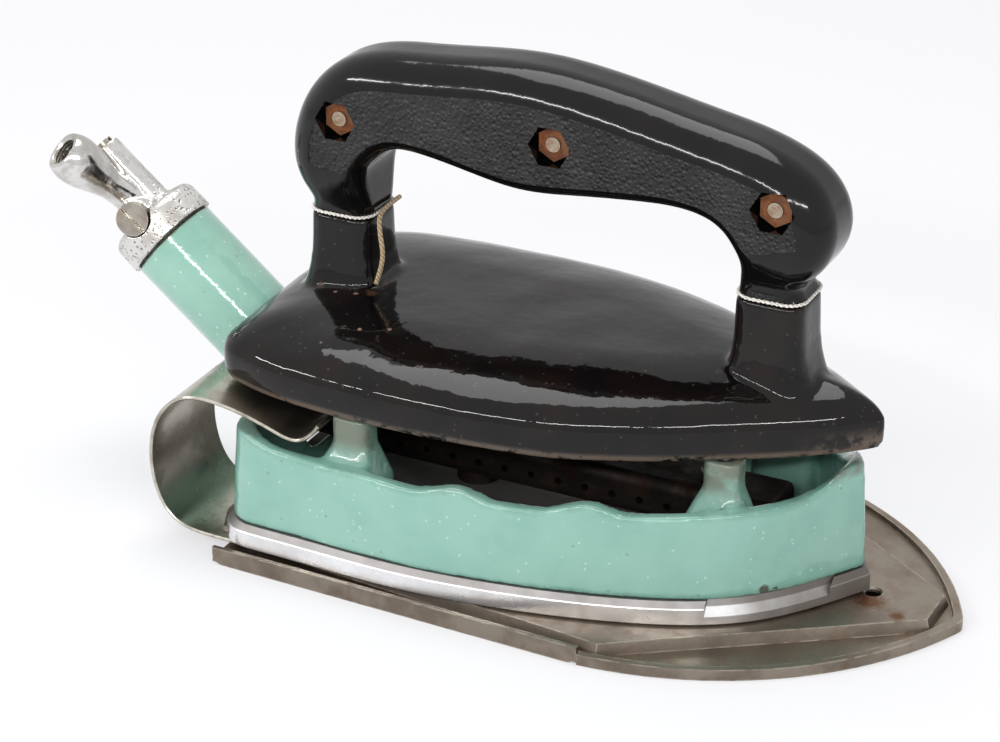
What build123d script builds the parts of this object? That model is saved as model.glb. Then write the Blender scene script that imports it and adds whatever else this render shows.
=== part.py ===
"""Gas-heated flat iron on its pressed steel stand.

The iron is drawn in its own frame: X from the heel to the nose, Y across, Z up from
the sole's working face. The stand is drawn from the floor up. At the end both are
brought into one frame, whose origin is under the middle of the whole object.
Millimetres throughout.
"""

import os
from math import cos, pi, radians, sin, tan

from build123d import *

# Sole and casing, in plan and in height
SOLE_HEEL = 8.0
SOLE_NOSE = 175.0
SOLE_HALF_WIDTH = 55.6
SOLE_EDGE = 4.9
SOLE_SHOULDER = 1.9
SOLE_SHOULDER_INSET = 1.4
BUTTON_BEVEL_START = 143.0
BUTTON_BEVEL_END = 168.0
BUTTON_BEVEL_DEPTH = 2.4
BUTTON_BEVEL_BOTTOM = 2.6
HEEL_CORNER = 9.0
HEEL_BULGE = 1.5
SIDE_SHAPE = [(0.0, 0.955), (0.12, 0.985), (0.30, 1.0), (0.52, 0.932), (0.66, 0.832), (0.80, 0.668), (0.92, 0.365)]
NOSE_SLOPE = (0.55, -1.0)

CASING_INSET = 1.3
CASING_DRAFT = 1.6
CASING_TOP = 40.0
CASING_WALL = 4.2
CASING_FLOOR = 3.0
FLANGE_WIDTH = 12.0
WALL_CREST = [
    (-6, 33.7), (5, 33.7), (13, 33.7), (17, 33.2), (22, 31.4), (30, 30.4), (42, 30.2), (56, 30.0),
    (67, 29.6), (72.5, 30.7), (78, 32.2), (83, 31.4), (88.5, 29.5), (95, 29.4), (101.5, 29.5), (106.5, 31.0),
    (112.5, 32.5), (117, 31.9), (121.5, 30.4), (128, 30.2), (140, 30.8), (152, 31.1), (159.5, 31.5),
    (164.5, 33.8), (167.5, 36.8), (170.2, 37.9), (172.6, 36.4), (176, 32.0),
]
SADDLE_REAR = 1.5
PILLARS = [((45.2, 42.5), (45.2, 44.4), 11.0, 15.0), ((141.5, 21.5), (141.5, 23.0), 10.0, 12.0)]
PILLAR_DEPTH = 9.0
PILLAR_FLARE = 8.0
PILLAR_FOOT = 25.0
PILLAR_NECK = 34.0
WEB = 2.5
NOSE_RIB_START = 152.5
NOSE_RIB_TOP = 27.0
NOSE_RIB_FALL = 6.0

# Cover and sockets
COVER_RIM = 42.0
COVER_HEEL = 1.5
COVER_NOSE = 176.5
COVER_HALF_WIDTH = 48.6
COVER_WALL = 3.0
COVER_CORNER = 11.0
COVER_SHAPE = [(0.0, 0.83), (0.07, 0.915), (0.20, 0.99), (0.34, 1.0), (0.61, 0.86), (0.82, 0.49), (0.94, 0.2)]
COVER_RIM_LAYERS = [(0.0, 1.8), (0.9, 0.8), (2.6, 0.2), (5.2, 0.0), (8.0, 0.0)]
CROWN_RISE = 11.4
CROWN_INSET = 32.0
CROWN_STEPS = 6
BOSS_RADIUS = 5.4
COVER_ARCH_GAP = 1.5
SHIELD_Z = 44.0
SHIELD_SHEET = 1.0
SHIELD_HEEL = 14.0
SHIELD_NOSE = 136.0
SHIELD_HALF_WIDTH = 34.0
SOCKET_X = (22.0, 146.0)
SOCKET_BASE = 20.0
SOCKET_TOP = 18.8
SOCKET_CORNER = 5.0
SOCKET_RIM = 81.0
COLLAR_FLARE = [(-5.5, 26.0, 9.0), (-1.5, 23.6, 7.6), (2.0, 21.4, 6.2), (6.0, 20.0, 5.0)]

# Handle: stations along its arch, each (x, z, lean, depth, width, outer and inner corner radius)
LEG_SIZE = 18.0
LEG_BOTTOM = 82.0
GRIP_WIDTH = 27.0
STATIONS = [
    (22.0, LEG_BOTTOM, 90, LEG_SIZE, LEG_SIZE, 5.0, 5.0),
    (20.8, 89.0, 92, 19.8, 22.5, 6.5, 5.0),
    (19.6, 96.1, 85, 22.4, 26.4, 8.5, 5.5),
    (21.5, 104.3, 62, 25.2, GRIP_WIDTH, 10.0, 5.5),
    (31.1, 114.0, 30, 26.4, GRIP_WIDTH, 10.5, 5.5),
    (45.0, 116.7, 2, 25.6, GRIP_WIDTH, 10.5, 5.5),
    (61.0, 116.4, 0, 29.6, GRIP_WIDTH, 10.5, 5.5),
    (78.0, 115.7, -2, 33.0, GRIP_WIDTH, 10.5, 5.5),
    (95.0, 115.5, -5, 30.2, GRIP_WIDTH, 10.5, 5.5),
    (111.0, 114.9, -8, 25.8, GRIP_WIDTH, 10.5, 5.5),
    (124.2, 113.8, -14, 23.0, GRIP_WIDTH, 10.5, 5.5),
    (137.2, 110.9, -32, 24.2, GRIP_WIDTH, 10.5, 5.5),
    (147.3, 104.0, -58, 27.8, GRIP_WIDTH, 10.0, 5.5),
    (149.8, 97.2, -76, 26.2, 26.4, 8.5, 5.5),
    (147.9, 90.0, -92, 20.2, 22.5, 6.5, 5.0),
    (146.0, LEG_BOTTOM, -90, LEG_SIZE, LEG_SIZE, 5.0, 5.0),
]
PANEL_FIRST = 2
PANEL_DEPTH = 0.35
PANEL_TOP_BAND = 8.0
PANEL_LOW_BAND = 3.6
CORE_DEPTH = 12.0
CORE_WIDTH = 5.0
CORE_BEND = 14.0
CORE_TOP = 114.0
CORE_DROP = 3.0
CORE_FIT = 0.1
STUD_RADIUS = 4.0
STUD_BOTTOM = 45.8
SOCKET_PAD = 10.0
SOCKET_PAD_Z = 54.0
BOLT_PLACES = [(24.4, 110.0), (86.9, 114.0), (148.0, 107.6)]
BOLT_RADIUS = 2.0
BOLT_FIT = 0.1
NUT_POCKET = 10.4
NUT_POCKET_DEPTH = 6.5
HANDLE_NUT = 8.4
HANDLE_NUT_THICK = 3.2
BOLT_HEAD_RADIUS = 4.4
BOLT_HEAD_THICK = 3.0
POCKET_FIT = 0.8
BOLT_PROUD = 0.6
STUD_NUT = 13.0
STUD_NUT_THICK = 6.0
WASHER_RADIUS = 8.0
WASHER_THICK = 1.6
PACKING_PROUD = 0.6
PACKING_HOLE = 13.4
STRING_RADIUS = 0.65
STRING_POINTS = [
    (10.3, 7.5, 0.3), (10.6, 0.5, 0.7), (11.2, -6.0, 0.2), (13.4, -9.5, -3.6), (14.8, -10.4, -8.6),
    (14.0, -10.6, -13.6), (12.6, -10.8, -17.6),
]

# Mixing tube, injector cap and burner
TUBE_SLOPE = 39.4
TUBE_MOUTH = (-36.6, 59.5)
TUBE_RADIUS = 13.0
TUBE_BORE = 10.0
TUBE_LENGTH = 64.5
GASKET = 0.8
PIPE_FIT = 0.05
SADDLE_WALL = 2.4
SET_SCREW_PLACE = 9.0
SET_SCREW_RADIUS = 1.5
SET_SCREW_HEAD = 2.6
SET_SCREW_THICK = 1.0
SPIGOT_LENGTH = 13.0
SPIGOT_BORE = 8.0
CAP_RADIUS = 14.0
CAP_FLANGE = 6.0
CAP_NECK = 6.0
CHAMBER_RADIUS = 11.4
PORT_RADIUS = 10.8
PORT_LENGTH = 4.4
PORT_WIDTH = 2.0
NOZZLE_FOOT = 9.0
NOZZLE_REACH = 33.0
NOZZLE_LEAN = (0.2185, -0.5235, 0.823)
NOZZLE_NECK = 4.2
NOZZLE_BELL = 6.9
NOZZLE_RIM = 5.7
INLET_RADIUS = 4.28
INLET_DEPTH = 10.0
GAS_WAY = 1.6
GAS_WAY_END = 8.0
CROSS_WAY = 1.0
RIDGE_OFFSET = 5.4
RIDGE_RADIUS = 3.8
RIDGE_END = 31.0
NEEDLE_RADIUS = 2.6
NEEDLE_SEAT = 14.0
NEEDLE_START = 17.5
NEEDLE_END = 32.6
JET_RADIUS = 2.2
JET_HOLE = 0.5
REGULATOR_PLACE = 9.8
REGULATOR_LEAN = 19.0
REGULATOR_HEAD = 4.75
REGULATOR_SEAT = 11.3
REGULATOR_SHANK = 2.5
REGULATOR_TIP = 4.0
SCREW_FIT = 0.1
HEAD_THICK = 2.4
SLOT_WIDTH = 1.1
SLOT_DEPTH = 1.2
BURNER_START = 34.0
BURNER_END = 150.0
BURNER_WIDTH = 18.0
BURNER_HEIGHT = 12.0
BURNER_Z = 17.0
FLAME_PORT = 1.1
FLAME_PITCH = 8.0
FLAME_PORTS = 13

# Stand
STAND_SHEET = 1.2
STAND_TOP = 5.2
SLIDE_GAP = 0.1
BASE_TOP = 1.8
FLANGE_TOP = 5.0
SIDE_START = 8.0
SIDE_END = 118.0
SIDE_REAR = 57.0
SIDE_FRONT = 60.0
ARCH_SHOULDER = (165.0, 44.3)
STAND_TIP = 201.0
TIP_ROUND = 4.0
RIM_WIDTH = 2.0
RIM_HEIGHT = 3.2
TRAY_REAR = (1.0, 47.0)
TRAY_CORNER_CUT = 10.0
TRAY_SIDE = (122.0, 57.0)
TRAY_TIP = (194.5, 7.5)
TRAY_DRAFT = 1.1
TRAY_WALL = 1.5
SCREW_HOLE_X = 176.0
SCREW_HOLE = 2.1
HOLE_LEAD = 0.5
CLIP_SHEET = 1.0
CLIP_INNER = 17.0
CLIP_OUTER = 50.0
CLIP_FOOT_END = 12.0
CLIP_START = -9.5
CLIP_FIRST_BEND = 9.0
CLIP_BENDS = [(-14.2, 22.0, 16.0), (-8.0, 43.6, 9.0), (13.0, 44.6, 25.0), (30.6, 39.3, 8.0)]
CLIP_TIP = (38.0, 45.2)
RIVET_RADIUS = 1.8
RIVET_HEAD = 2.8
RIVET_X = 6.5
RIVET_ROWS = (25.0, 42.0)

SCREW_RADIUS = 2.0
SCREW_HEAD = 3.6
SCREW_HEAD_THICK = 2.4
COUNTERBORE = 2.9
SOLE_THREAD = 5.0
BOSS_THREAD = 8.0

CASING_BOTTOM = SOLE_EDGE + SOLE_SHOULDER
SOLE_HEIGHT = STAND_TOP + SLIDE_GAP
tube_out = (-cos(radians(TUBE_SLOPE)), 0, sin(radians(TUBE_SLOPE)))
tube_up = (sin(radians(TUBE_SLOPE)), 0, cos(radians(TUBE_SLOPE)))
tube_plane = Plane(origin=(TUBE_MOUTH[0], 0, TUBE_MOUTH[1]), x_dir=tube_up, z_dir=tube_out)

ON_PLACE = (Align.CENTER, Align.CENTER, Align.MIN)
BELOW_PLACE = (Align.CENTER, Align.CENTER, Align.MAX)

pieces = {}
stand_pieces = []


def keep(name, part, on_stand=False):
    """Label a finished piece and put it on the list to write."""
    part.label = name
    pieces[name] = part
    if on_stand:
        stand_pieces.append(name)


def plan_outline(height, heel, nose, half_width, shape, corner=HEEL_CORNER):
    """The iron's plan at one height: two splined sides, a soft nose and rounded heel corners."""
    length = nose - heel
    side = [(heel + along * length, across * half_width) for along, across in shape]
    with BuildSketch(Plane.XY.offset(height)) as plan:
        with BuildLine():
            left = Spline(*side, (nose, 0), tangents=[(1, 0.25), NOSE_SLOPE], tangent_scalars=[1, 0.35])
            mirror(left, about=Plane.XZ)
            ThreePointArc(left @ 0, (heel - HEEL_BULGE, 0), (side[0][0], -side[0][1]))
        make_face()
        fillet(plan.vertices().group_by(Axis.X)[0], corner)
    return plan.sketch


def sole_outline(height, inset):
    """The sole's plan, drawn in by one inset all round."""
    nose = SOLE_NOSE - 1.2 * inset
    return plan_outline(height, SOLE_HEEL + inset, nose, SOLE_HALF_WIDTH - inset, SIDE_SHAPE)


def cover_outline(height, inset):
    """The cover's plan, drawn in by one inset all round."""
    heel = COVER_HEEL + inset
    nose = COVER_NOSE - 1.3 * inset
    corner = max(COVER_CORNER - 0.2 * inset, 2.0)
    return plan_outline(height, heel, nose, COVER_HALF_WIDTH - inset, COVER_SHAPE, corner)


def both_sides(places):
    """The same places on both sides of the middle."""
    return [(x, side * y) for x, y in places for side in (1, -1)]


def slotted_screw(place, head_radius, head_thick, shank_radius, shank_length):
    """A cheese-head screw: the head stands on the plane and the shank goes down from it."""
    with BuildPart(place) as screw:
        Cylinder(head_radius, head_thick, align=ON_PLACE)
        Cylinder(shank_radius, shank_length, align=BELOW_PLACE)
        with Locations((0, 0, head_thick)):
            Box(head_radius * 3, SLOT_WIDTH, SLOT_DEPTH * 2, mode=Mode.SUBTRACT)
    return screw.part


def hex_nut(place, across_flats, thickness, bore):
    """A hexagon nut standing on the plane, bored for its thread."""
    with BuildPart(place) as nut:
        with BuildSketch(place):
            RegularPolygon(across_flats / 2, 6, major_radius=False)
            Circle(bore, mode=Mode.SUBTRACT)
        extrude(amount=thickness)
    return nut.part


# Sole plate: a thick ground plate with a bright edge and a sloping shoulder
sole_screw_places = [(22, 36), (95, 38.5), (154, 13.7)]
burner_screw_places = [(60, 0), (130, 0)]
pillar_heads = both_sides([head for head, *rest in PILLARS])

with BuildPart() as button_bevel:
    with Locations(((BUTTON_BEVEL_START + BUTTON_BEVEL_END) / 2, 0, BUTTON_BEVEL_BOTTOM)):
        Box(BUTTON_BEVEL_END - BUTTON_BEVEL_START, SOLE_HALF_WIDTH * 3, CASING_BOTTOM - BUTTON_BEVEL_BOTTOM,
            align=ON_PLACE)
    loft([sole_outline(BUTTON_BEVEL_BOTTOM, 0.4), sole_outline(CASING_BOTTOM, BUTTON_BEVEL_DEPTH)], ruled=True,
         mode=Mode.SUBTRACT)

with BuildPart() as sole_plate:
    add(sole_outline(0, 0))
    extrude(amount=SOLE_EDGE)
    chamfer(sole_plate.edges().group_by(Axis.Z)[0], 0.6)
    loft([sole_outline(SOLE_EDGE, 0), sole_outline(CASING_BOTTOM, SOLE_SHOULDER_INSET)], ruled=True)
    add(button_bevel.part, mode=Mode.SUBTRACT)
    with Locations(*[(x, y, CASING_BOTTOM) for x, y in both_sides(sole_screw_places) + burner_screw_places]):
        Cylinder(SCREW_RADIUS, SOLE_THREAD * 2, mode=Mode.SUBTRACT)
keep("sole_plate", sole_plate.part)


def casing_outline(height, inset):
    """The casing's outer plan, or its inner one when drawn in by the wall."""
    return sole_outline(height, CASING_INSET + inset)


# Casing: an enamelled casting, open above, with a wavy crest, four pillars and a saddle for the tube
with BuildPart(tube_plane) as saddle:
    with Locations((0, 0, -TUBE_LENGTH)):
        Cylinder(TUBE_RADIUS + SADDLE_WALL, 24, align=ON_PLACE)
    split(bisect_by=Plane.XY.offset(PILLAR_NECK), keep=Keep.BOTTOM)
    split(bisect_by=Plane.XY.offset(CASING_BOTTOM), keep=Keep.TOP)
    split(bisect_by=Plane.YZ.offset(SADDLE_REAR), keep=Keep.TOP)

with BuildPart() as body_casing:
    loft([casing_outline(CASING_BOTTOM, 0), casing_outline(CASING_TOP, CASING_DRAFT)], ruled=True)
    loft(
        [casing_outline(CASING_BOTTOM + CASING_FLOOR, CASING_WALL),
         casing_outline(CASING_TOP, CASING_WALL + CASING_DRAFT)],
        ruled=True, mode=Mode.SUBTRACT,
    )
    with BuildSketch(Plane.XY.offset(CASING_BOTTOM)) as middle:
        add(casing_outline(0, CASING_WALL + FLANGE_WIDTH))
    extrude(amount=CASING_FLOOR, mode=Mode.SUBTRACT)
    with BuildSketch(Plane.XZ) as above:
        with BuildLine():
            crest = Spline(*WALL_CREST)
            Polyline(crest @ 1, (WALL_CREST[-1][0], 60), (WALL_CREST[0][0], 60), crest @ 0)
        make_face()
    extrude(amount=SOLE_HALF_WIDTH + 5, both=True, mode=Mode.SUBTRACT)
    for side in (1, -1):
        for head, foot, width, foot_depth in PILLARS:
            with BuildSketch(Plane.XY.offset(CASING_BOTTOM)) as foot_section:
                with Locations((foot[0], side * foot[1])):
                    RectangleRounded(width + PILLAR_FLARE, foot_depth, 3)
            extrude(amount=PILLAR_FOOT - CASING_BOTTOM)
            with BuildSketch(Plane.XY.offset(PILLAR_FOOT)) as flare_section:
                with Locations((foot[0], side * foot[1])):
                    RectangleRounded(width + PILLAR_FLARE, foot_depth, 3)
            with BuildSketch(Plane.XY.offset(PILLAR_NECK)) as neck_section:
                with Locations((head[0], side * head[1])):
                    RectangleRounded(width, PILLAR_DEPTH, 3)
            loft()
            with BuildSketch(Plane.XY.offset(PILLAR_NECK)) as post_section:
                with Locations((head[0], side * head[1])):
                    RectangleRounded(width, PILLAR_DEPTH, 3)
            extrude(amount=COVER_RIM - PILLAR_NECK)
    with BuildSketch(Plane.XZ) as nose_rib:
        Polygon((NOSE_RIB_START, CASING_BOTTOM), (SOLE_NOSE - CASING_WALL, CASING_BOTTOM),
                (SOLE_NOSE - CASING_WALL, NOSE_RIB_TOP), (NOSE_RIB_START, NOSE_RIB_TOP - NOSE_RIB_FALL),
                align=None)
    extrude(amount=WEB / 2, both=True)
    add(saddle.part)
    with Locations(tube_plane):
        Cylinder(TUBE_RADIUS + PIPE_FIT, TUBE_LENGTH * 2 + 12, mode=Mode.SUBTRACT)
    with Locations(*[(x, y, CASING_BOTTOM) for x, y in both_sides(sole_screw_places)]):
        Cylinder(SCREW_RADIUS, CASING_FLOOR * 3, mode=Mode.SUBTRACT)
    with Locations(*[(x, y, CASING_BOTTOM) for x, y in pillar_heads]):
        Cylinder(SCREW_RADIUS, COVER_RIM * 2, mode=Mode.SUBTRACT)
        Cylinder(SCREW_HEAD + 0.2, COUNTERBORE * 2, mode=Mode.SUBTRACT)
keep("body_casing", body_casing.part)

# Top cover: a domed casting with a rolled rim, two sockets for the handle and an arch for the tube
cover_top = COVER_RIM + COVER_RIM_LAYERS[-1][0] + CROWN_RISE
shield_screw_places = [(62, 0), (112, 0)]

crown_angles = [pi / 2 * step / CROWN_STEPS for step in range(CROWN_STEPS + 1)]
crown_layers = [
    (COVER_RIM_LAYERS[-1][0] + CROWN_RISE * sin(angle), CROWN_INSET * (1 - cos(angle))) for angle in crown_angles
]



def collar_ring(x, height, size, corner):
    """One section of the flare where a socket grows out of the cover."""
    with BuildSketch(Plane.XY.offset(height)) as ring:
        with Locations((x, 0)):
            RectangleRounded(size, size, corner)
    return ring.sketch


with BuildPart() as cover_cavity:
    loft(
        [cover_outline(COVER_RIM, COVER_RIM_LAYERS[0][1] + COVER_WALL),
         cover_outline(COVER_RIM + COVER_RIM_LAYERS[-1][0] - COVER_WALL, COVER_WALL)],
        ruled=True,
    )
    loft([cover_outline(COVER_RIM + height - COVER_WALL, inset + COVER_WALL) for height, inset in crown_layers])
    with Locations(*[(x, y, COVER_RIM) for x, y in pillar_heads]):
        Cylinder(BOSS_RADIUS, COVER_RIM, mode=Mode.SUBTRACT)
    with Locations(*[(x, y, SHIELD_Z + SHIELD_SHEET) for x, y in shield_screw_places]):
        Cylinder(BOSS_RADIUS, COVER_RIM, align=ON_PLACE, mode=Mode.SUBTRACT)
    with Locations(*[(x, 0, SOCKET_PAD_Z) for x in SOCKET_X]):
        Cylinder(SOCKET_PAD, COVER_RIM, align=ON_PLACE, mode=Mode.SUBTRACT)

with BuildPart() as top_cover:
    loft([cover_outline(COVER_RIM + height, inset) for height, inset in COVER_RIM_LAYERS], ruled=True)
    loft([cover_outline(COVER_RIM + height, inset) for height, inset in crown_layers])
    for x in SOCKET_X:
        loft([collar_ring(x, cover_top + rise, size, corner) for rise, size, corner in COLLAR_FLARE])
        with BuildSketch(Plane.XY.offset(cover_top)) as socket_low:
            with Locations((x, 0)):
                RectangleRounded(SOCKET_BASE, SOCKET_BASE, SOCKET_CORNER)
        with BuildSketch(Plane.XY.offset(SOCKET_RIM)) as socket_high:
            with Locations((x, 0)):
                RectangleRounded(SOCKET_TOP, SOCKET_TOP, SOCKET_CORNER)
        loft()
    chamfer(top_cover.edges().filter_by_position(Axis.Z, SOCKET_RIM - 0.1, SOCKET_RIM + 0.1), 0.7)
    add(cover_cavity.part, mode=Mode.SUBTRACT)
    with Locations(*[(x, 0, SOCKET_RIM) for x in SOCKET_X]):
        Cylinder(STUD_RADIUS + PIPE_FIT, SOCKET_RIM, mode=Mode.SUBTRACT)
    with Locations(*[(x, y, COVER_RIM) for x, y in pillar_heads]):
        Cylinder(SCREW_RADIUS, BOSS_THREAD * 2, mode=Mode.SUBTRACT)
    with Locations(*[(x, y, SHIELD_Z + SHIELD_SHEET) for x, y in shield_screw_places]):
        Cylinder(SCREW_RADIUS, BOSS_THREAD * 2, mode=Mode.SUBTRACT)
    with Locations(tube_plane):
        Cylinder(TUBE_RADIUS + COVER_ARCH_GAP, TUBE_LENGTH * 2, mode=Mode.SUBTRACT)
keep("top_cover", top_cover.part)

# Heat shield: a flat steel plate hung under the cover
with BuildPart() as heat_shield:
    add(plan_outline(SHIELD_Z, SHIELD_HEEL, SHIELD_NOSE, SHIELD_HALF_WIDTH, COVER_SHAPE))
    extrude(amount=SHIELD_SHEET)
    with Locations(*[(x, y, SHIELD_Z) for x, y in shield_screw_places]):
        Cylinder(SCREW_RADIUS, SHIELD_SHEET * 4, mode=Mode.SUBTRACT)
keep("heat_shield", heat_shield.part)


def handle_section(station):
    """One cross-section of the handle, square to its arch, with soft outer and tighter inner corners."""
    x, z, lean, depth, width, outer, inner = station
    along = (cos(radians(lean)), 0, sin(radians(lean)))
    outward = (-sin(radians(lean)), 0, cos(radians(lean)))
    with BuildSketch(Plane(origin=(x, 0, z), x_dir=outward, z_dir=along)) as section:
        with BuildSketch(mode=Mode.PRIVATE) as flat:
            Rectangle(depth, width)
            corners = flat.vertices().group_by(Axis.X)
            fillet(corners[-1], outer)
            fillet(flat.vertices().group_by(Axis.X)[0], inner)
        add(flat.sketch_local)
    return section.sketch


def panel_edge(inset, side):
    """Points along one edge of the grip's flat panel, on its outer or its inner side."""
    points = []
    for x, z, lean, depth, *rest in STATIONS[PANEL_FIRST:-PANEL_FIRST]:
        out = side * (depth / 2 - inset)
        points.append((x - sin(radians(lean)) * out, z + cos(radians(lean)) * out))
    return points


with BuildLine(Plane.XZ) as core_path:
    FilletPolyline(
        (SOCKET_X[0], LEG_BOTTOM - 0.5), (SOCKET_X[0], CORE_TOP),
        (SOCKET_X[1], CORE_TOP - CORE_DROP), (SOCKET_X[1], LEG_BOTTOM - 0.5),
        radius=CORE_BEND,
    )


def core_bar(fit):
    """The bent bar inside the handle, grown by a fit where it is a channel."""
    with BuildPart() as bar:
        with BuildSketch(Plane(origin=core_path.line @ 0, z_dir=core_path.line % 0)) as bar_section:
            Rectangle(CORE_DEPTH + 2 * fit, CORE_WIDTH + 2 * fit)
        sweep(path=core_path.line)
    return bar.part


# Handle: two moulded halves closed round a bent steel bar
with BuildPart() as handle_form:
    loft([handle_section(station) for station in STATIONS])
    for side in (1, -1):
        with BuildSketch(Plane.XZ.offset(side * (GRIP_WIDTH / 2 + PANEL_DEPTH))) as panel:
            with BuildLine():
                outer = Spline(*panel_edge(PANEL_TOP_BAND, 1))
                inner = Spline(*panel_edge(PANEL_LOW_BAND, -1))
                Line(outer @ 0, inner @ 0)
                Line(outer @ 1, inner @ 1)
            make_face()
        extrude(amount=-side * PANEL_DEPTH * 2, mode=Mode.SUBTRACT)

halves = {}
for name, side in (("handle_left_shell", 1), ("handle_right_shell", -1)):
    with BuildPart() as shell:
        add(handle_form.part)
        split(bisect_by=Plane.XZ, keep=Keep.BOTTOM if side == 1 else Keep.TOP)
        add(core_bar(CORE_FIT), mode=Mode.SUBTRACT)
        for x, z in BOLT_PLACES:
            with BuildSketch(Plane.XZ) as bolt_way:
                with Locations((x, z)):
                    Circle(BOLT_RADIUS + BOLT_FIT)
            extrude(amount=GRIP_WIDTH, both=True, mode=Mode.SUBTRACT)
            with BuildSketch(Plane.XZ.offset(-side * (GRIP_WIDTH / 2 - NUT_POCKET_DEPTH))) as pocket:
                with Locations((x, z)):
                    if side == 1:
                        Circle(BOLT_HEAD_RADIUS + POCKET_FIT)
                    else:
                        RegularPolygon(NUT_POCKET / 2, 6, major_radius=False)
            extrude(amount=-side * GRIP_WIDTH, mode=Mode.SUBTRACT)
    keep(name, shell.part)

with BuildPart() as handle_core:
    add(core_bar(0))
    with Locations(*[(x, 0, STUD_BOTTOM) for x in SOCKET_X]):
        Cylinder(STUD_RADIUS, LEG_BOTTOM - 0.2 - STUD_BOTTOM, align=ON_PLACE)
    for x, z in BOLT_PLACES:
        with Locations(Plane(origin=(x, 0, z), z_dir=(0, 1, 0))):
            Cylinder(BOLT_RADIUS + BOLT_FIT, CORE_WIDTH * 2, mode=Mode.SUBTRACT)
keep("handle_core", handle_core.part)

pocket_floor = GRIP_WIDTH / 2 - NUT_POCKET_DEPTH
bolts = [
    slotted_screw(
        Plane(origin=(x, pocket_floor, z), z_dir=(0, 1, 0)),
        BOLT_HEAD_RADIUS, BOLT_HEAD_THICK, BOLT_RADIUS, pocket_floor * 2 + HANDLE_NUT_THICK + BOLT_PROUD,
    )
    for x, z in BOLT_PLACES
]
keep("handle_bolts", Compound(bolts))
keep("handle_hex_nuts", Compound([
    hex_nut(Plane(origin=(x, -pocket_floor, z), z_dir=(0, -1, 0)), HANDLE_NUT, HANDLE_NUT_THICK,
            BOLT_RADIUS + PIPE_FIT)
    for x, z in BOLT_PLACES
]))
keep("stud_nuts", Compound([
    hex_nut(Plane(origin=(x, 0, SOCKET_PAD_Z - WASHER_THICK), z_dir=(0, 0, -1)), STUD_NUT, STUD_NUT_THICK,
            STUD_RADIUS + PIPE_FIT)
    for x in SOCKET_X
]))
with BuildPart() as stud_washers:
    with Locations(*[(x, 0, SOCKET_PAD_Z) for x in SOCKET_X]):
        Cylinder(WASHER_RADIUS, WASHER_THICK, align=BELOW_PLACE)
        Cylinder(STUD_RADIUS + PIPE_FIT, WASHER_THICK * 3, mode=Mode.SUBTRACT)
keep("stud_washers", stud_washers.part)

# String packing, wound once round each joint between socket and handle
for name, x in (("rear_packing", SOCKET_X[0]), ("front_packing", SOCKET_X[1])):
    with BuildPart() as packing:
        with BuildSketch(Plane.XY.offset(SOCKET_RIM)):
            with Locations((x, 0)):
                RectangleRounded(SOCKET_TOP + PACKING_PROUD, SOCKET_TOP + PACKING_PROUD, SOCKET_CORNER)
                RectangleRounded(PACKING_HOLE, PACKING_HOLE, SOCKET_CORNER / 2, mode=Mode.SUBTRACT)
        extrude(amount=LEG_BOTTOM - SOCKET_RIM)
    keep(name, packing.part)

# Loose tail of the rear packing string, hanging beside the socket
string_route = [(x + SOCKET_X[0], y, z + LEG_BOTTOM) for x, y, z in STRING_POINTS]
string_radii = []
for before, point, after in zip(string_route, string_route[1:], string_route[2:]):
    run_in = Vector(*point) - Vector(*before)
    run_out = Vector(*after) - Vector(*point)
    shorter = min(run_in.length, run_out.length)
    string_radii.append(0.45 * shorter / tan(radians(run_in.get_angle(run_out)) / 2))
print("string radii", [round(radius, 2) for radius in string_radii])
with BuildPart() as string_tail:
    with BuildLine():
        string_line = FilletPolyline(*string_route, radius=string_radii)
    with BuildSketch(Plane(origin=string_line @ 0, z_dir=string_line % 0)):
        Circle(STRING_RADIUS)
    sweep(path=string_line)
print("string length", round(string_line.length, 1), "volume", round(string_tail.part.volume, 2))
keep("string_tail", string_tail.part)

# Mixing tube: a straight enamelled tube from the injector cap down through the heel
set_screw_plane = Plane(
    origin=tube_plane.from_local_coords((-TUBE_RADIUS, 0, -SET_SCREW_PLACE)),
    z_dir=tube_plane.x_dir * -1,
)
with BuildPart() as mixing_tube:
    with Locations(tube_plane):
        with Locations((0, 0, -GASKET)):
            Cylinder(TUBE_RADIUS, TUBE_LENGTH - GASKET, align=BELOW_PLACE)
            Cylinder(TUBE_BORE, TUBE_LENGTH * 3, mode=Mode.SUBTRACT)
    with Locations(set_screw_plane):
        Cylinder(SET_SCREW_RADIUS + PIPE_FIT, TUBE_RADIUS, mode=Mode.SUBTRACT)
keep("mixing_tube", mixing_tube.part)
keep("tube_set_screw", slotted_screw(
    set_screw_plane, SET_SCREW_HEAD, SET_SCREW_THICK, SET_SCREW_RADIUS, TUBE_RADIUS - TUBE_BORE))

with BuildPart() as cap_gasket:
    with Locations(tube_plane):
        Cylinder(TUBE_RADIUS - 0.5, GASKET, align=BELOW_PLACE)
        Cylinder(TUBE_BORE + PIPE_FIT, GASKET * 4, mode=Mode.SUBTRACT)
keep("cap_gasket", cap_gasket.part)

# Injector cap, in the frame of the tube's mouth: X up from its axis, Z out along it
nozzle_out = Vector(*NOZZLE_LEAN).normalized()
nozzle_plane = Plane(origin=(0, 0, NOZZLE_FOOT), x_dir=nozzle_out.cross(Vector(1, 0, 0)), z_dir=nozzle_out)
nozzle_mouth = nozzle_plane.origin + nozzle_out * NOZZLE_REACH
way_end = nozzle_plane.origin + nozzle_out * GAS_WAY_END
regulator_out = Vector(sin(radians(REGULATOR_LEAN)), -cos(radians(REGULATOR_LEAN)), 0)
regulator_seat = Plane(
    origin=Vector(0, 0, REGULATOR_PLACE) + regulator_out * REGULATOR_SEAT,
    x_dir=(0, 0, 1), z_dir=regulator_out,
)
needle_plane = Plane(origin=(RIDGE_OFFSET, 0, 0), z_dir=(0, 0, 1))
needle_side = Vector(RIDGE_OFFSET, 0, way_end.Z)

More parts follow.
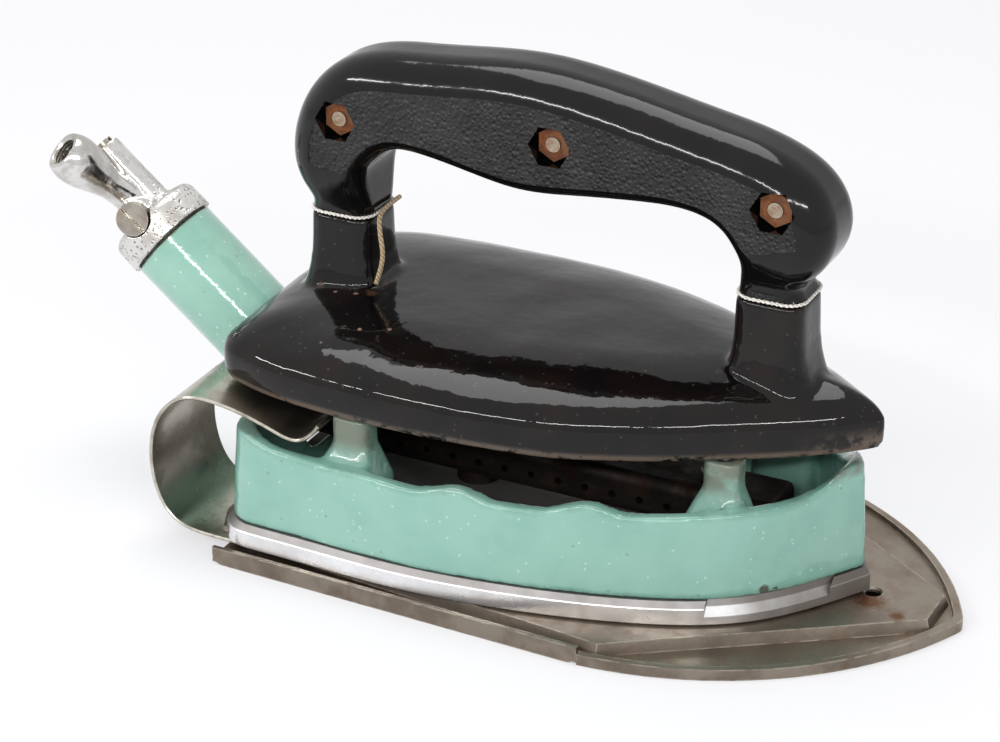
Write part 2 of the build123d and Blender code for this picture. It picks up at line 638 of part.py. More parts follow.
with BuildPart() as nozzle:
    with BuildSketch(Plane.XZ) as nozzle_profile:
        with BuildLine():
            Line((0, 0), (NOZZLE_NECK + 0.8, 0))
            flare = Spline((NOZZLE_NECK + 0.8, 0), (NOZZLE_NECK, 15), (NOZZLE_BELL, NOZZLE_REACH - 6.5),
                           tangents=[(0, 1), (0.12, 1)])
            ThreePointArc(flare @ 1, (NOZZLE_BELL - 0.1, NOZZLE_REACH - 2.8), (NOZZLE_RIM, NOZZLE_REACH))
            Polyline((NOZZLE_RIM, NOZZLE_REACH), (0, NOZZLE_REACH), (0, 0))
        make_face()
    revolve(axis=Axis.Z)

with BuildPart() as cap:
    with BuildSketch(Plane.XZ) as cap_profile:
        with BuildLine():
            Polyline((0, -SPIGOT_LENGTH), (TUBE_BORE - PIPE_FIT, -SPIGOT_LENGTH), (TUBE_BORE - PIPE_FIT, 0),
                     (CAP_RADIUS, 0), (CAP_RADIUS, CAP_FLANGE))
            ThreePointArc((CAP_RADIUS, CAP_FLANGE), (CAP_RADIUS - 0.7, CAP_FLANGE + 2.2),
                          (CAP_RADIUS - 2.8, CAP_FLANGE + 3.2))
            ThreePointArc((CAP_RADIUS - 2.8, CAP_FLANGE + 3.2), (CAP_NECK + 1.8, CAP_FLANGE + 5.0),
                          (CAP_NECK, CAP_FLANGE + 9.5))
            Polyline((CAP_NECK, CAP_FLANGE + 9.5), (CAP_NECK - 1.4, CAP_FLANGE + 14),
                     (0, CAP_FLANGE + 14), (0, -SPIGOT_LENGTH))
        make_face()
    revolve(axis=Axis.Z)
    add(nozzle.part.moved(nozzle_plane.location))
    with Locations(needle_plane):
        with Locations((0, 0, CAP_FLANGE)):
            Cylinder(RIDGE_RADIUS, RIDGE_END - CAP_FLANGE, align=ON_PLACE)
    with Locations(regulator_seat):
        Cylinder(REGULATOR_HEAD + 0.5, REGULATOR_SEAT - REGULATOR_TIP, align=BELOW_PLACE)
    with BuildSketch(Plane.XZ) as chamber:
        with BuildLine():
            Polyline((0, -SPIGOT_LENGTH), (SPIGOT_BORE, -SPIGOT_LENGTH), (SPIGOT_BORE, 1.5),
                     (CHAMBER_RADIUS, 3), (CHAMBER_RADIUS, CAP_FLANGE), (CAP_NECK - 1.5, CAP_FLANGE + 4.8),
                     (0, CAP_FLANGE + 4.8), (0, -SPIGOT_LENGTH))
        make_face()
    revolve(axis=Axis.Z, mode=Mode.SUBTRACT)
    with BuildSketch(Plane.XY.offset(CAP_FLANGE - 1)) as ports:
        with PolarLocations(PORT_RADIUS, 5, start_angle=REGULATOR_LEAN - 30, angular_range=240):
            SlotOverall(PORT_LENGTH, PORT_WIDTH, rotation=90)
    extrude(amount=10, mode=Mode.SUBTRACT)
    with Locations(nozzle_plane):
        with Locations((0, 0, NOZZLE_REACH)):
            Cylinder(INLET_RADIUS, INLET_DEPTH, align=BELOW_PLACE, mode=Mode.SUBTRACT)
            Cylinder(GAS_WAY, NOZZLE_REACH - GAS_WAY_END, align=BELOW_PLACE, mode=Mode.SUBTRACT)
    with Locations(Plane(origin=way_end, z_dir=needle_side - way_end)):
        Cylinder(CROSS_WAY, (needle_side - way_end).length, align=ON_PLACE, mode=Mode.SUBTRACT)
    with Locations(needle_plane):
        with Locations((0, 0, NEEDLE_SEAT)):
            Cylinder(NEEDLE_RADIUS + PIPE_FIT, RIDGE_END, align=ON_PLACE, mode=Mode.SUBTRACT)
            Cylinder(JET_RADIUS, RIDGE_END, mode=Mode.SUBTRACT)
    with Locations(regulator_seat):
        Cylinder(REGULATOR_SHANK + SCREW_FIT, REGULATOR_SEAT * 2 - REGULATOR_TIP * 2 + 1, mode=Mode.SUBTRACT)
        Cylinder(REGULATOR_HEAD + 0.4, CAP_FLANGE, align=ON_PLACE, mode=Mode.SUBTRACT)
keep("injector_cap", cap.part.moved(tube_plane.location))

with BuildPart(needle_plane) as needle:
    with Locations((0, 0, NEEDLE_START)):
        Cylinder(NEEDLE_RADIUS, NEEDLE_END - NEEDLE_START, align=ON_PLACE)
        Cone(0.4, JET_RADIUS - 0.6, 5.5, align=BELOW_PLACE)
    with Locations((0, 0, NEEDLE_END)):
        Box(NEEDLE_RADIUS * 3, SLOT_WIDTH, SLOT_DEPTH * 2, mode=Mode.SUBTRACT)
keep("needle_screw", needle.part.moved(tube_plane.location))

with BuildPart(needle_plane) as gas_jet:
    with Locations((0, 0, CAP_FLANGE)):
        Cylinder(JET_RADIUS, NEEDLE_SEAT - 3 - CAP_FLANGE, align=ON_PLACE)
        Cylinder(JET_HOLE, NEEDLE_SEAT * 2, mode=Mode.SUBTRACT)
keep("gas_jet", gas_jet.part.moved(tube_plane.location))

keep("regulating_screw", slotted_screw(
    regulator_seat.offset(SCREW_FIT / 2), REGULATOR_HEAD, HEAD_THICK, REGULATOR_SHANK,
    REGULATOR_SEAT - REGULATOR_TIP,
).moved(tube_plane.location))

# Burner: a hollow bar with flame ports along both sides, fed by the tube through a tapered neck
burner_plane = Plane(origin=(BURNER_START, 0, BURNER_Z), x_dir=(0, 1, 0), z_dir=(1, 0, 0))
with BuildPart() as burner_bar:
    with BuildSketch(tube_plane.offset(-TUBE_LENGTH - 0.5)):
        Circle(TUBE_BORE - PIPE_FIT)
    extrude(amount=SPIGOT_LENGTH / 2 + 2)
    with BuildSketch(tube_plane.offset(-TUBE_LENGTH - 0.5)):
        Circle(TUBE_BORE - PIPE_FIT)
    with BuildSketch(burner_plane):
        RectangleRounded(BURNER_WIDTH, BURNER_HEIGHT, 3)
    loft()
    with BuildSketch(burner_plane):
        RectangleRounded(BURNER_WIDTH, BURNER_HEIGHT, 3)
    extrude(amount=BURNER_END - BURNER_START)
    fillet(burner_bar.edges().group_by(Axis.X)[-1], 2)
    with Locations(*[(x, y, CASING_BOTTOM) for x, y in burner_screw_places]):
        Cylinder(6, BURNER_Z - CASING_BOTTOM, align=ON_PLACE)
        Cylinder(SCREW_RADIUS, BURNER_HEIGHT * 4, mode=Mode.SUBTRACT)
    with Locations(*[
        (BURNER_START + FLAME_PITCH * (index + 0.8), side * BURNER_WIDTH / 2, BURNER_Z - 1)
        for index in range(FLAME_PORTS) for side in (1, -1)
    ]):
        Cylinder(FLAME_PORT, 6, rotation=(90, 0, 0), mode=Mode.SUBTRACT)
keep("burner_bar", burner_bar.part)

# Screws, as groups of separate solids
keep("sole_screws", Compound([
    slotted_screw(Plane(origin=(x, y, CASING_BOTTOM + CASING_FLOOR)), SCREW_HEAD, SCREW_HEAD_THICK,
                  SCREW_RADIUS, CASING_FLOOR + SOLE_THREAD - 1)
    for x, y in both_sides(sole_screw_places)
]))
keep("burner_screws", Compound([
    slotted_screw(Plane(origin=(x, y, BURNER_Z + BURNER_HEIGHT / 2)), SCREW_HEAD, SCREW_HEAD_THICK,
                  SCREW_RADIUS, BURNER_Z + BURNER_HEIGHT / 2 - CASING_BOTTOM + SOLE_THREAD - 1)
    for x, y in burner_screw_places
]))
keep("cover_screws", Compound([
    slotted_screw(Plane(origin=(x, y, CASING_BOTTOM + COUNTERBORE), z_dir=(0, 0, -1)), SCREW_HEAD,
                  SCREW_HEAD_THICK, SCREW_RADIUS, COVER_RIM + BOSS_THREAD - CASING_BOTTOM - COUNTERBORE - 1)
    for x, y in pillar_heads
]))
keep("shield_screws", Compound([
    slotted_screw(Plane(origin=(x, y, SHIELD_Z), z_dir=(0, 0, -1)), SCREW_HEAD, 2.0, SCREW_RADIUS,
                  SHIELD_SHEET + BOSS_THREAD - 1)
    for x, y in shield_screw_places
]))


def stand_outline(inset):
    """The stand's plan: nearly parallel sides and a pointed arch at the front."""
    with BuildSketch() as plan:
        with BuildLine():
            side = Line((SIDE_START, SIDE_REAR - inset), (SIDE_END, SIDE_FRONT - inset))
            arch = ThreePointArc(side @ 1, (ARCH_SHOULDER[0] - 0.7 * inset, ARCH_SHOULDER[1] - 0.7 * inset),
                                 (STAND_TIP - 1.3 * inset, 0))
            mirror(side, about=Plane.XZ)
            mirror(arch, about=Plane.XZ)
            Line((SIDE_START, SIDE_REAR - inset), (SIDE_START, inset - SIDE_REAR))
        make_face()
        fillet(plan.vertices().group_by(Axis.X)[-1], TIP_ROUND)
    return plan.sketch


# Stand base: pressed sheet with turned-down sides and a raised rim round the pointed front
with BuildPart() as stand_base:
    with BuildSketch(Plane.XY.offset(BASE_TOP - STAND_SHEET)):
        add(stand_outline(0))
    extrude(amount=STAND_SHEET)
    with BuildSketch() as rim:
        add(stand_outline(0))
        add(stand_outline(RIM_WIDTH), mode=Mode.SUBTRACT)
        with Locations((SIDE_END, 0)):
            Rectangle(SIDE_END * 2, SIDE_FRONT * 3, align=(Align.MAX, Align.CENTER), mode=Mode.SUBTRACT)
    extrude(amount=RIM_HEIGHT)
    for side in (1, -1):
        along = Vector(SIDE_END - SIDE_START, side * (SIDE_FRONT - SIDE_REAR), 0)
        with BuildSketch(Plane(origin=(SIDE_START, side * SIDE_REAR, 0), x_dir=along,
                               z_dir=along.cross(Vector(0, 0, 1)))) as flange:
            Rectangle(along.length, FLANGE_TOP, align=(Align.MIN, Align.MIN))
            fillet(flange.vertices().group_by(Axis.Y)[0], FLANGE_TOP * 0.6)
        extrude(amount=side * STAND_SHEET)
    with Locations((SCREW_HOLE_X, 0, 0)):
        Cylinder(SCREW_HOLE, STAND_TOP * 4, mode=Mode.SUBTRACT)
keep("stand_base", stand_base.part, on_stand=True)


def tray_outline(height, inset, rear):
    """The raised plate's kite: cut rear corners, straight sides and a cut-off tip."""
    with BuildSketch(Plane.XY.offset(height)) as plan:
        with BuildLine():
            near = Polyline(
                (rear, 0), (rear, TRAY_REAR[1] - TRAY_CORNER_CUT), (TRAY_REAR[0] + 4, TRAY_REAR[1] - inset),
                (TRAY_SIDE[0], TRAY_SIDE[1] - inset), (TRAY_TIP[0] - inset, TRAY_TIP[1] - inset / 2),
                (TRAY_TIP[0] - inset, 0),
            )
            mirror(near, about=Plane.XZ)
        make_face()
    return plan.sketch


rivet_places = both_sides([(RIVET_X, y) for y in RIVET_ROWS])
with BuildPart() as stand_tray:
    loft([tray_outline(BASE_TOP, 0, TRAY_REAR[0]), tray_outline(STAND_TOP, TRAY_DRAFT, TRAY_REAR[0])], ruled=True)
    loft(
        [tray_outline(BASE_TOP, TRAY_WALL, TRAY_REAR[0] - CLIP_OUTER),
         tray_outline(STAND_TOP - STAND_SHEET, TRAY_WALL + TRAY_DRAFT, TRAY_REAR[0] - CLIP_OUTER)],
        ruled=True, mode=Mode.SUBTRACT,
    )
    with Locations((CLIP_FOOT_END + 2 * PIPE_FIT, 0, STAND_TOP - STAND_SHEET)):
        Box(SIDE_FRONT, SIDE_FRONT * 2, STAND_TOP, align=(Align.MAX, Align.CENTER, Align.MAX), mode=Mode.SUBTRACT)
    with Locations(*[(x, y, STAND_TOP) for x, y in rivet_places]):
        Cylinder(RIVET_RADIUS + PIPE_FIT, STAND_TOP, mode=Mode.SUBTRACT)
    with Locations((SCREW_HOLE_X, 0, STAND_TOP)):
        Cylinder(SCREW_HOLE, STAND_TOP, mode=Mode.SUBTRACT)
        Cone(SCREW_HOLE, SCREW_HOLE + HOLE_LEAD, HOLE_LEAD, align=BELOW_PLACE, mode=Mode.SUBTRACT)
keep("stand_top_plate", stand_tray.part, on_stand=True)

# Spring clips: flat strips looped up from under the tray and over the heel of the casing
clip_z = STAND_TOP - STAND_SHEET - CLIP_SHEET / 2
clip_points = [(x, z) for x, z, bend in CLIP_BENDS]
with BuildLine(Plane.XZ) as clip_path:
    FilletPolyline(
        (CLIP_FOOT_END, clip_z), (CLIP_START, clip_z), *clip_points, CLIP_TIP,
        radius=[CLIP_FIRST_BEND] + [bend for x, z, bend in CLIP_BENDS],
    )
for name, side in (("spring_clip_left", 1), ("spring_clip_right", -1)):
    with BuildPart() as clip:
        clip_line = clip_path.line.moved(Location((0, side * (CLIP_INNER + CLIP_OUTER) / 2, 0)))
        with BuildSketch(Plane(origin=clip_line @ 0, x_dir=(0, 1, 0), z_dir=clip_line % 0)):
            Rectangle(CLIP_OUTER - CLIP_INNER, CLIP_SHEET)
        sweep(path=clip_line)
        with Locations(*[(x, y, clip_z) for x, y in rivet_places if y * side > 0]):
            Cylinder(RIVET_RADIUS + PIPE_FIT, CLIP_SHEET * 2, mode=Mode.SUBTRACT)
    keep(name, clip.part, on_stand=True)

with BuildPart() as rivets:
    with Locations(*[(x, y, clip_z - CLIP_SHEET / 2) for x, y in rivet_places]):
        Cylinder(RIVET_RADIUS, STAND_TOP - clip_z + CLIP_SHEET / 2, align=ON_PLACE)
        Cylinder(RIVET_HEAD, 0.8, align=BELOW_PLACE)
keep("clip_rivets", rivets.part, on_stand=True)

# One frame for everything: the iron is lifted onto the stand and the origin set under the middle
placed = {
    name: part if name in stand_pieces else part.moved(Location((0, 0, SOLE_HEIGHT)))
    for name, part in pieces.items()
}
box = Compound(list(placed.values())).bounding_box()
middle_x = (box.min.X + box.max.X) / 2
os.makedirs("parts", exist_ok=True)
for name, part in placed.items():
    moved = part.moved(Location((-middle_x, 0, 0)))
    moved.label = name
    export_step(moved, f"parts/{name}.step")
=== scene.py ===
from math import cos, pi, radians, sin

import bmesh
import bpy
from mathutils import Matrix, Vector, noise


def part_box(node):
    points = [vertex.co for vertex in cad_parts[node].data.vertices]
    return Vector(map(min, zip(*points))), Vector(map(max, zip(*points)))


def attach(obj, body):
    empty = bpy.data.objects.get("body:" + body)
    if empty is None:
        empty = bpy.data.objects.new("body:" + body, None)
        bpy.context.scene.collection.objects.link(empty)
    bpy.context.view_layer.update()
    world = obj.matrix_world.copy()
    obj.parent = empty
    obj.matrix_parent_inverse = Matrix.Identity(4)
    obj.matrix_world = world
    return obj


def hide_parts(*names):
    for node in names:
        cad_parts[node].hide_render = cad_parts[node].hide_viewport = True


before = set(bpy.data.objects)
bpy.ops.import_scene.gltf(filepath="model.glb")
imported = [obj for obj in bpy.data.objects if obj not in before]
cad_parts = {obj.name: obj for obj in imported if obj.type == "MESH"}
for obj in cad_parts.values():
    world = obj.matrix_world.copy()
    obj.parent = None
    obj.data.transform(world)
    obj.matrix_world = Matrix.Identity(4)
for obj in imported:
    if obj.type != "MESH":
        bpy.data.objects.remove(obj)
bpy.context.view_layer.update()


# Stand. A pressed sheet steel base with a raised plate riveted on it, dull grey brown from years of
# heat. The rolled edges are rubbed bright, and the gutter round the plate and the hole have rusted.
def paint(red, green, blue):
    """A colour from its three screen values, 0 to 255."""
    screen = [value / 255 for value in (red, green, blue)]
    return (*[s / 12.92 if s < 0.04045 else ((s + 0.055) / 1.055) ** 2.4 for s in screen], 1.0)


def add_node(tree, kind, inputs=None, **settings):
    """A shader node with its settings, and each input set to a value or joined to a socket."""
    made = tree.nodes.new(kind)
    for setting, value in settings.items():
        setattr(made, setting, value)
    for key, value in (inputs or {}).items():
        if isinstance(value, bpy.types.NodeSocket):
            tree.links.new(value, made.inputs[key])
        else:
            made.inputs[key].default_value = value
    return made


def effect(name, inputs, outputs):
    """An empty node group with named inputs and outputs: its tree, what comes in, what goes out."""
    tree = bpy.data.node_groups.new(name, "ShaderNodeTree")
    for label, value in inputs.items():
        kind = "NodeSocketFloat"
        if isinstance(value, tuple):
            kind = "NodeSocketColor" if len(value) == 4 else "NodeSocketVector"
        tree.interface.new_socket(label, in_out="INPUT", socket_type=kind).default_value = value
    for label, kind in outputs.items():
        tree.interface.new_socket(label, in_out="OUTPUT", socket_type=kind)
    return tree, tree.nodes.new("NodeGroupInput").outputs, tree.nodes.new("NodeGroupOutput").inputs


def grade(tree, value, low, high, dark=0.0, light=1.0):
    """The value of a mask that rises smoothly from dark at low to light at high."""
    return add_node(tree, "ShaderNodeMapRange", {
        "Value": value, "From Min": low, "From Max": high, "To Min": dark, "To Max": light,
    }, interpolation_type="SMOOTHSTEP").outputs["Result"]


def blend_paint(tree, mask, under, over):
    """One colour laid over another by a mask."""
    return add_node(tree, "ShaderNodeMix", {0: mask, 6: under, 7: over}, data_type="RGBA").outputs[2]


def sums(tree, operation, *values):
    """The result of a Math node."""
    return add_node(tree, "ShaderNodeMath", dict(enumerate(values)), operation=operation).outputs[0]


edge_wear, worn_in, worn_out = effect(
    "edge_wear", {"Radius": 0.0008, "Breakup": 180.0, "Amount": 1.0}, {"Mask": "NodeSocketFloat"},
)
rounded = add_node(edge_wear, "ShaderNodeBevel", {"Radius": worn_in["Radius"]}, samples=4)
turned = add_node(edge_wear, "ShaderNodeVectorMath", {
    0: rounded.outputs[0], 1: add_node(edge_wear, "ShaderNodeNewGeometry").outputs["Normal"],
}, operation="DOT_PRODUCT").outputs["Value"]
rubbed = add_node(edge_wear, "ShaderNodeTexNoise", {
    "Vector": add_node(edge_wear, "ShaderNodeTexCoord").outputs["Object"],
    "Scale": worn_in["Breakup"], "Detail": 4.0,
}).outputs["Fac"]
on_edge = grade(edge_wear, turned, 0.995, 0.93)
broken_edge = sums(edge_wear, "MULTIPLY", on_edge, grade(edge_wear, rubbed, 0.36, 0.56))
edge_wear.links.new(sums(edge_wear, "MULTIPLY", worn_in["Amount"], broken_edge), worn_out["Mask"])

steel_skin, skin_in, skin_out = effect("steel_skin", {
    "Clean": paint(150, 148, 145), "Stain": paint(96, 88, 80), "Rust": paint(104, 62, 36),
    "Scale": 60.0, "Stain Amount": 0.5, "Rust Amount": 0.2, "Smooth": 0.3, "Rough": 0.6,
}, {"Colour": "NodeSocketColor", "Roughness": "NodeSocketFloat", "Height": "NodeSocketFloat"})
metal_place = add_node(steel_skin, "ShaderNodeTexCoord").outputs["Object"]
cloud = add_node(steel_skin, "ShaderNodeTexNoise", {
    "Vector": metal_place, "Scale": skin_in["Scale"], "Detail": 8.0, "Roughness": 0.62,
}).outputs["Fac"]
grain = add_node(steel_skin, "ShaderNodeTexNoise", {
    "Vector": metal_place, "Scale": 1400.0, "Detail": 3.0,
}).outputs["Fac"]
scratch_place = add_node(steel_skin, "ShaderNodeMapping", {
    "Vector": metal_place, "Rotation": (0.3, 0.2, 0.5), "Scale": (60.0, 2200.0, 900.0),
}).outputs[0]
scratches = add_node(steel_skin, "ShaderNodeTexNoise", {
    "Vector": scratch_place, "Scale": 1.0, "Detail": 2.0,
}).outputs["Fac"]
stained = sums(steel_skin, "MULTIPLY", skin_in["Stain Amount"], grade(steel_skin, cloud, 0.38, 0.62))
rust_patch = add_node(steel_skin, "ShaderNodeTexNoise", {
    "Vector": metal_place, "Scale": sums(steel_skin, "MULTIPLY", skin_in["Scale"], 2.7), "Detail": 9.0,
}).outputs["Fac"]
rusted = sums(steel_skin, "MULTIPLY", skin_in["Rust Amount"], grade(steel_skin, rust_patch, 0.5, 0.66))
steel_tint = blend_paint(steel_skin, stained, skin_in["Clean"], skin_in["Stain"])
steel_tint = blend_paint(steel_skin, rusted, steel_tint, skin_in["Rust"])
steel_skin.links.new(steel_tint, skin_out["Colour"])
steel_skin.links.new(sums(
    steel_skin, "ADD", sums(steel_skin, "MULTIPLY", rusted, 0.35),
    add_node(steel_skin, "ShaderNodeMapRange", {
        "Value": sums(steel_skin, "ADD", stained, sums(steel_skin, "MULTIPLY", scratches, 0.35)),
        "From Max": 1.2, "To Min": skin_in["Smooth"], "To Max": skin_in["Rough"],
    }).outputs[0],
), skin_out["Roughness"])
steel_skin.links.new(sums(
    steel_skin, "ADD", sums(steel_skin, "MULTIPLY", grain, 0.35),
    sums(steel_skin, "ADD", cloud, sums(steel_skin, "MULTIPLY", rusted, 1.4)),
), skin_out["Height"])

ragged_spot, spot_in, spot_out = effect(
    "ragged_spot", {"Centre": (0.0, 0.0, 0.0), "Radius": 0.001, "Ragged": 0.5, "Soft": 0.25},
    {"Mask": "NodeSocketFloat"},
)
spot_place = add_node(ragged_spot, "ShaderNodeTexCoord").outputs["Object"]
from_centre = add_node(ragged_spot, "ShaderNodeVectorMath", {
    0: spot_place, 1: spot_in["Centre"],
}, operation="DISTANCE").outputs["Value"]
outline_wave = add_node(ragged_spot, "ShaderNodeTexNoise", {
    "Vector": spot_place, "Scale": 900.0, "Detail": 3.0,
}).outputs["Fac"]
reach = sums(
    ragged_spot, "ADD", sums(ragged_spot, "DIVIDE", from_centre, spot_in["Radius"]),
    sums(ragged_spot, "MULTIPLY", spot_in["Ragged"], sums(ragged_spot, "SUBTRACT", outline_wave, 0.5)),
)
ragged_spot.links.new(sums(
    ragged_spot, "SUBTRACT", 1.0, add_node(ragged_spot, "ShaderNodeMapRange", {
        "Value": reach, "From Min": sums(ragged_spot, "SUBTRACT", 1.0, spot_in["Soft"]), "From Max": 1.0,
    }).outputs[0],
), spot_out["Mask"])


def spots(tree, places, ragged=0.9, soft=0.25):
    """The joined mask of several spots, each given as x, y, z and radius in millimetres."""
    joined = 0.0
    for x, y, z, radius in places:
        spot = add_node(tree, "ShaderNodeGroup", {
            "Centre": (x / 1000, y / 1000, z / 1000), "Radius": radius / 1000,
            "Ragged": ragged, "Soft": soft,
        }, node_tree=ragged_spot).outputs["Mask"]
        joined = sums(tree, "MAXIMUM", joined, spot)
    return joined


def finish_of(name, roughness=0.4, metallic=0.0, **sockets):
    """A new material: its node tree, its Principled shader and the material itself."""
    material = bpy.data.materials.new(name)
    material.use_nodes = True
    shader = material.node_tree.nodes["Principled BSDF"]
    shader.inputs["Roughness"].default_value = roughness
    shader.inputs["Metallic"].default_value = metallic
    for socket, value in sockets.items():
        shader.inputs[socket.replace("_", " ")].default_value = value
    return material.node_tree, shader, material


def relief(tree, shader, height, strength, distance):
    """Joins a height to the shader's normal through a Bump node."""
    tree.links.new(add_node(tree, "ShaderNodeBump", {
        "Height": height, "Strength": strength, "Distance": distance,
    }).outputs[0], shader.inputs["Normal"])


RUB_SCALE = 260.0
METAL_GRAIN_DEPTH = 0.00025


def steel_finish(name, clean, stain, rust, bright, scale, stain_amount, rust_amount, smooth, rough, edge,
                 edge_amount, bump, rust_spots=(), metallic=1.0):
    """A worn metal: clouded, rusted in patches, rubbed bright on its edges."""
    tree, shader, material = finish_of(name, metallic=metallic)
    skin = add_node(tree, "ShaderNodeGroup", {
        "Clean": paint(*clean), "Stain": paint(*stain), "Rust": paint(*rust), "Scale": scale,
        "Stain Amount": stain_amount, "Rust Amount": rust_amount, "Smooth": smooth, "Rough": rough,
    }, node_tree=steel_skin).outputs
    worn = add_node(tree, "ShaderNodeGroup", {
        "Radius": edge, "Breakup": RUB_SCALE, "Amount": edge_amount,
    }, node_tree=edge_wear).outputs["Mask"]
    colour = blend_paint(tree, worn, skin["Colour"], paint(*bright))
    if rust_spots:
        halo = spots(tree, rust_spots, ragged=0.8, soft=0.6)
        colour = blend_paint(tree, halo, colour, paint(*rust))
    tree.links.new(colour, shader.inputs["Base Color"])
    tree.links.new(skin["Roughness"], shader.inputs["Roughness"])
    relief(tree, shader, skin["Height"], strength=bump, distance=METAL_GRAIN_DEPTH)
    return material


def dress(material, *nodes):
    """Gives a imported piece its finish."""
    for name in nodes:
        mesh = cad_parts[name].data
        mesh.materials.clear()
        mesh.materials.append(material)


stand_metal = steel_finish(
    "stand_metal", clean=(142, 132, 120), stain=(108, 97, 86), rust=(104, 72, 50),
    bright=(188, 180, 168), scale=60.0, stain_amount=0.7, rust_amount=0.26, smooth=0.34, rough=0.55,
    edge=0.0007, edge_amount=0.85, bump=0.3,
    rust_spots=[(108.8, -5.0, 5.0, 5.5), (96.0, -14.0, 5.0, 3.0), (118.0, -9.0, 5.0, 2.5)],
)
dress(stand_metal, "stand_base", "stand_top_plate")

# Spring clips. Two loops of nickelled spring strip riveted to the stand hold the iron by its heel.
# The plating has dulled and turned brown inside the loop, and the cut edges have stayed bright.
clip_metal = steel_finish(
    "clip_metal", clean=(186, 180, 168), stain=(122, 110, 94), rust=(112, 78, 50),
    bright=(226, 222, 212), scale=38.0, stain_amount=0.7, rust_amount=0.22, smooth=0.2, rough=0.42,
    edge=0.0006, edge_amount=0.95, bump=0.12,
)
dress(clip_metal, "clip_rivets")
CLIP_LOOP = [
    (-0.0559, 0.0035), (-0.0660, 0.0035), (-0.0755, 0.0037), (-0.0816, 0.0120), (-0.0836, 0.0245),
    (-0.0806, 0.0375), (-0.0720, 0.0452), (-0.0610, 0.0452), (-0.0500, 0.0428), (-0.0415, 0.0397),
    (-0.0368, 0.0386), (-0.0326, 0.0410), (-0.0299, 0.0452),
]
CLIP_SHEET = 0.001
CLIP_EDGES = (0.017, 0.050)
CLIP_ROLLED_EDGE = 0.0003


def join_rings(mesh, ring, following):
    """A band of four-sided faces between two rings of as many points."""
    for k in range(len(ring)):
        after = (k + 1) % len(ring)
        mesh.faces.new((ring[k], ring[after], following[after], following[k]))


def clip_loop(node, name, side):
    """One strip of spring steel bent along a smooth loop, with softly rolled edges."""
    line = bpy.data.curves.new(name + "_bend", "CURVE")
    line.dimensions = "3D"
    run = line.splines.new("NURBS")
    run.points.add(len(CLIP_LOOP) - 1)
    for point, (x, z) in zip(run.points, CLIP_LOOP):
        point.co = (x, 0.0, z, 1.0)
    run.order_u = 4
    run.use_endpoint_u = True
    run.resolution_u = 8
    guide = bpy.data.objects.new(name + "_bend", line)
    bpy.context.scene.collection.objects.link(guide)
    bent = bpy.data.meshes.new_from_object(guide.evaluated_get(bpy.context.evaluated_depsgraph_get()))
    path = [vertex.co.copy() for vertex in bent.vertices]
    bpy.data.objects.remove(guide)
    half = CLIP_SHEET / 2
    inner, outer = CLIP_EDGES
    lip = CLIP_ROLLED_EDGE
    profile = [
        (inner, -half + lip), (inner, half - lip), (inner + lip, half), (outer - lip, half),
        (outer, half - lip), (outer, -half + lip), (outer - lip, -half), (inner + lip, -half),
    ]
    strip = bmesh.new()
    rings = []
    for index, place in enumerate(path):
        ahead = path[min(index + 1, len(path) - 1)] - path[max(index - 1, 0)]
        up = Vector((-ahead.z, 0.0, ahead.x)).normalized()
        rings.append([
            strip.verts.new(place + up * lift + Vector((0, side * y, 0))) for y, lift in profile
        ])
    for ring, following in zip(rings, rings[1:]):
        join_rings(strip, ring, following)
    strip.faces.new(rings[0])
    strip.faces.new(rings[-1])
    bmesh.ops.recalc_face_normals(strip, faces=strip.faces)
    data = bpy.data.meshes.new(name)
    strip.to_mesh(data)
    strip.free()
    data.polygons.foreach_set("use_smooth", [True] * len(data.polygons))
    data.set_sharp_from_angle(angle=radians(40))
    loop = bpy.data.objects.new(name, data)
    bpy.context.scene.collection.objects.link(loop)
    data.materials.append(clip_metal)
    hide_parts(node)
    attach(loop, "stand")


clip_loop("spring_clip_right", "right_clip_loop", -1)
clip_loop("spring_clip_left", "left_clip_loop", 1)

# Sole. A thick ground iron plate, plated bright along the heel and sides. Toward the nose the plating
# has worn off to raw grey iron, and fine upright grinding marks cross its edge.
sole_tree, sole_shader, sole_metal = finish_of("sole_metal", metallic=0.85)
sole_skin = add_node(sole_tree, "ShaderNodeGroup", {
    "Clean": paint(238, 238, 240), "Stain": paint(206, 204, 202), "Rust": paint(140, 116, 98),
    "Scale": 70.0, "Stain Amount": 0.4, "Rust Amount": 0.08, "Smooth": 0.24, "Rough": 0.38,
}, node_tree=steel_skin).outputs
sole_place = add_node(sole_tree, "ShaderNodeTexCoord").outputs["Object"]
sole_axes = add_node(sole_tree, "ShaderNodeSeparateXYZ", {0: sole_place}).outputs
worn_plating = add_node(sole_tree, "ShaderNodeTexNoise", {
    "Vector": sole_place, "Scale": 55.0, "Detail": 6.0,
}).outputs["Fac"]
bare_nose = grade(sole_tree, sums(
    sole_tree, "ADD", sole_axes["X"], sums(sole_tree, "MULTIPLY", worn_plating, 0.05),
), 0.085, 0.125)
# Painted shade: from about 10.2 mm up, the top of the sole is painted dark where the casing meets it,
# standing in for the shadow of the gap between them.
painted_shade_line = grade(sole_tree, sole_axes["Z"], 0.0102, 0.0106)
sole_colour = blend_paint(sole_tree, bare_nose, sole_skin["Colour"], paint(142, 138, 134))
# The dark brown-grey laid on here is painted shade along the join with the casing, not grime.
sole_colour = blend_paint(
    sole_tree, sums(sole_tree, "MULTIPLY", painted_shade_line, 0.75), sole_colour, paint(92, 84, 78),
)
sole_tree.links.new(sole_colour, sole_shader.inputs["Base Color"])
sole_tree.links.new(sums(
    sole_tree, "ADD", sole_skin["Roughness"],
    sums(sole_tree, "MULTIPLY", sums(sole_tree, "MAXIMUM", bare_nose, painted_shade_line), 0.22),
), sole_shader.inputs["Roughness"])
upright_marks = add_node(sole_tree, "ShaderNodeMapping", {
    "Vector": sole_place, "Scale": (900.0, 900.0, 80.0),
}).outputs[0]
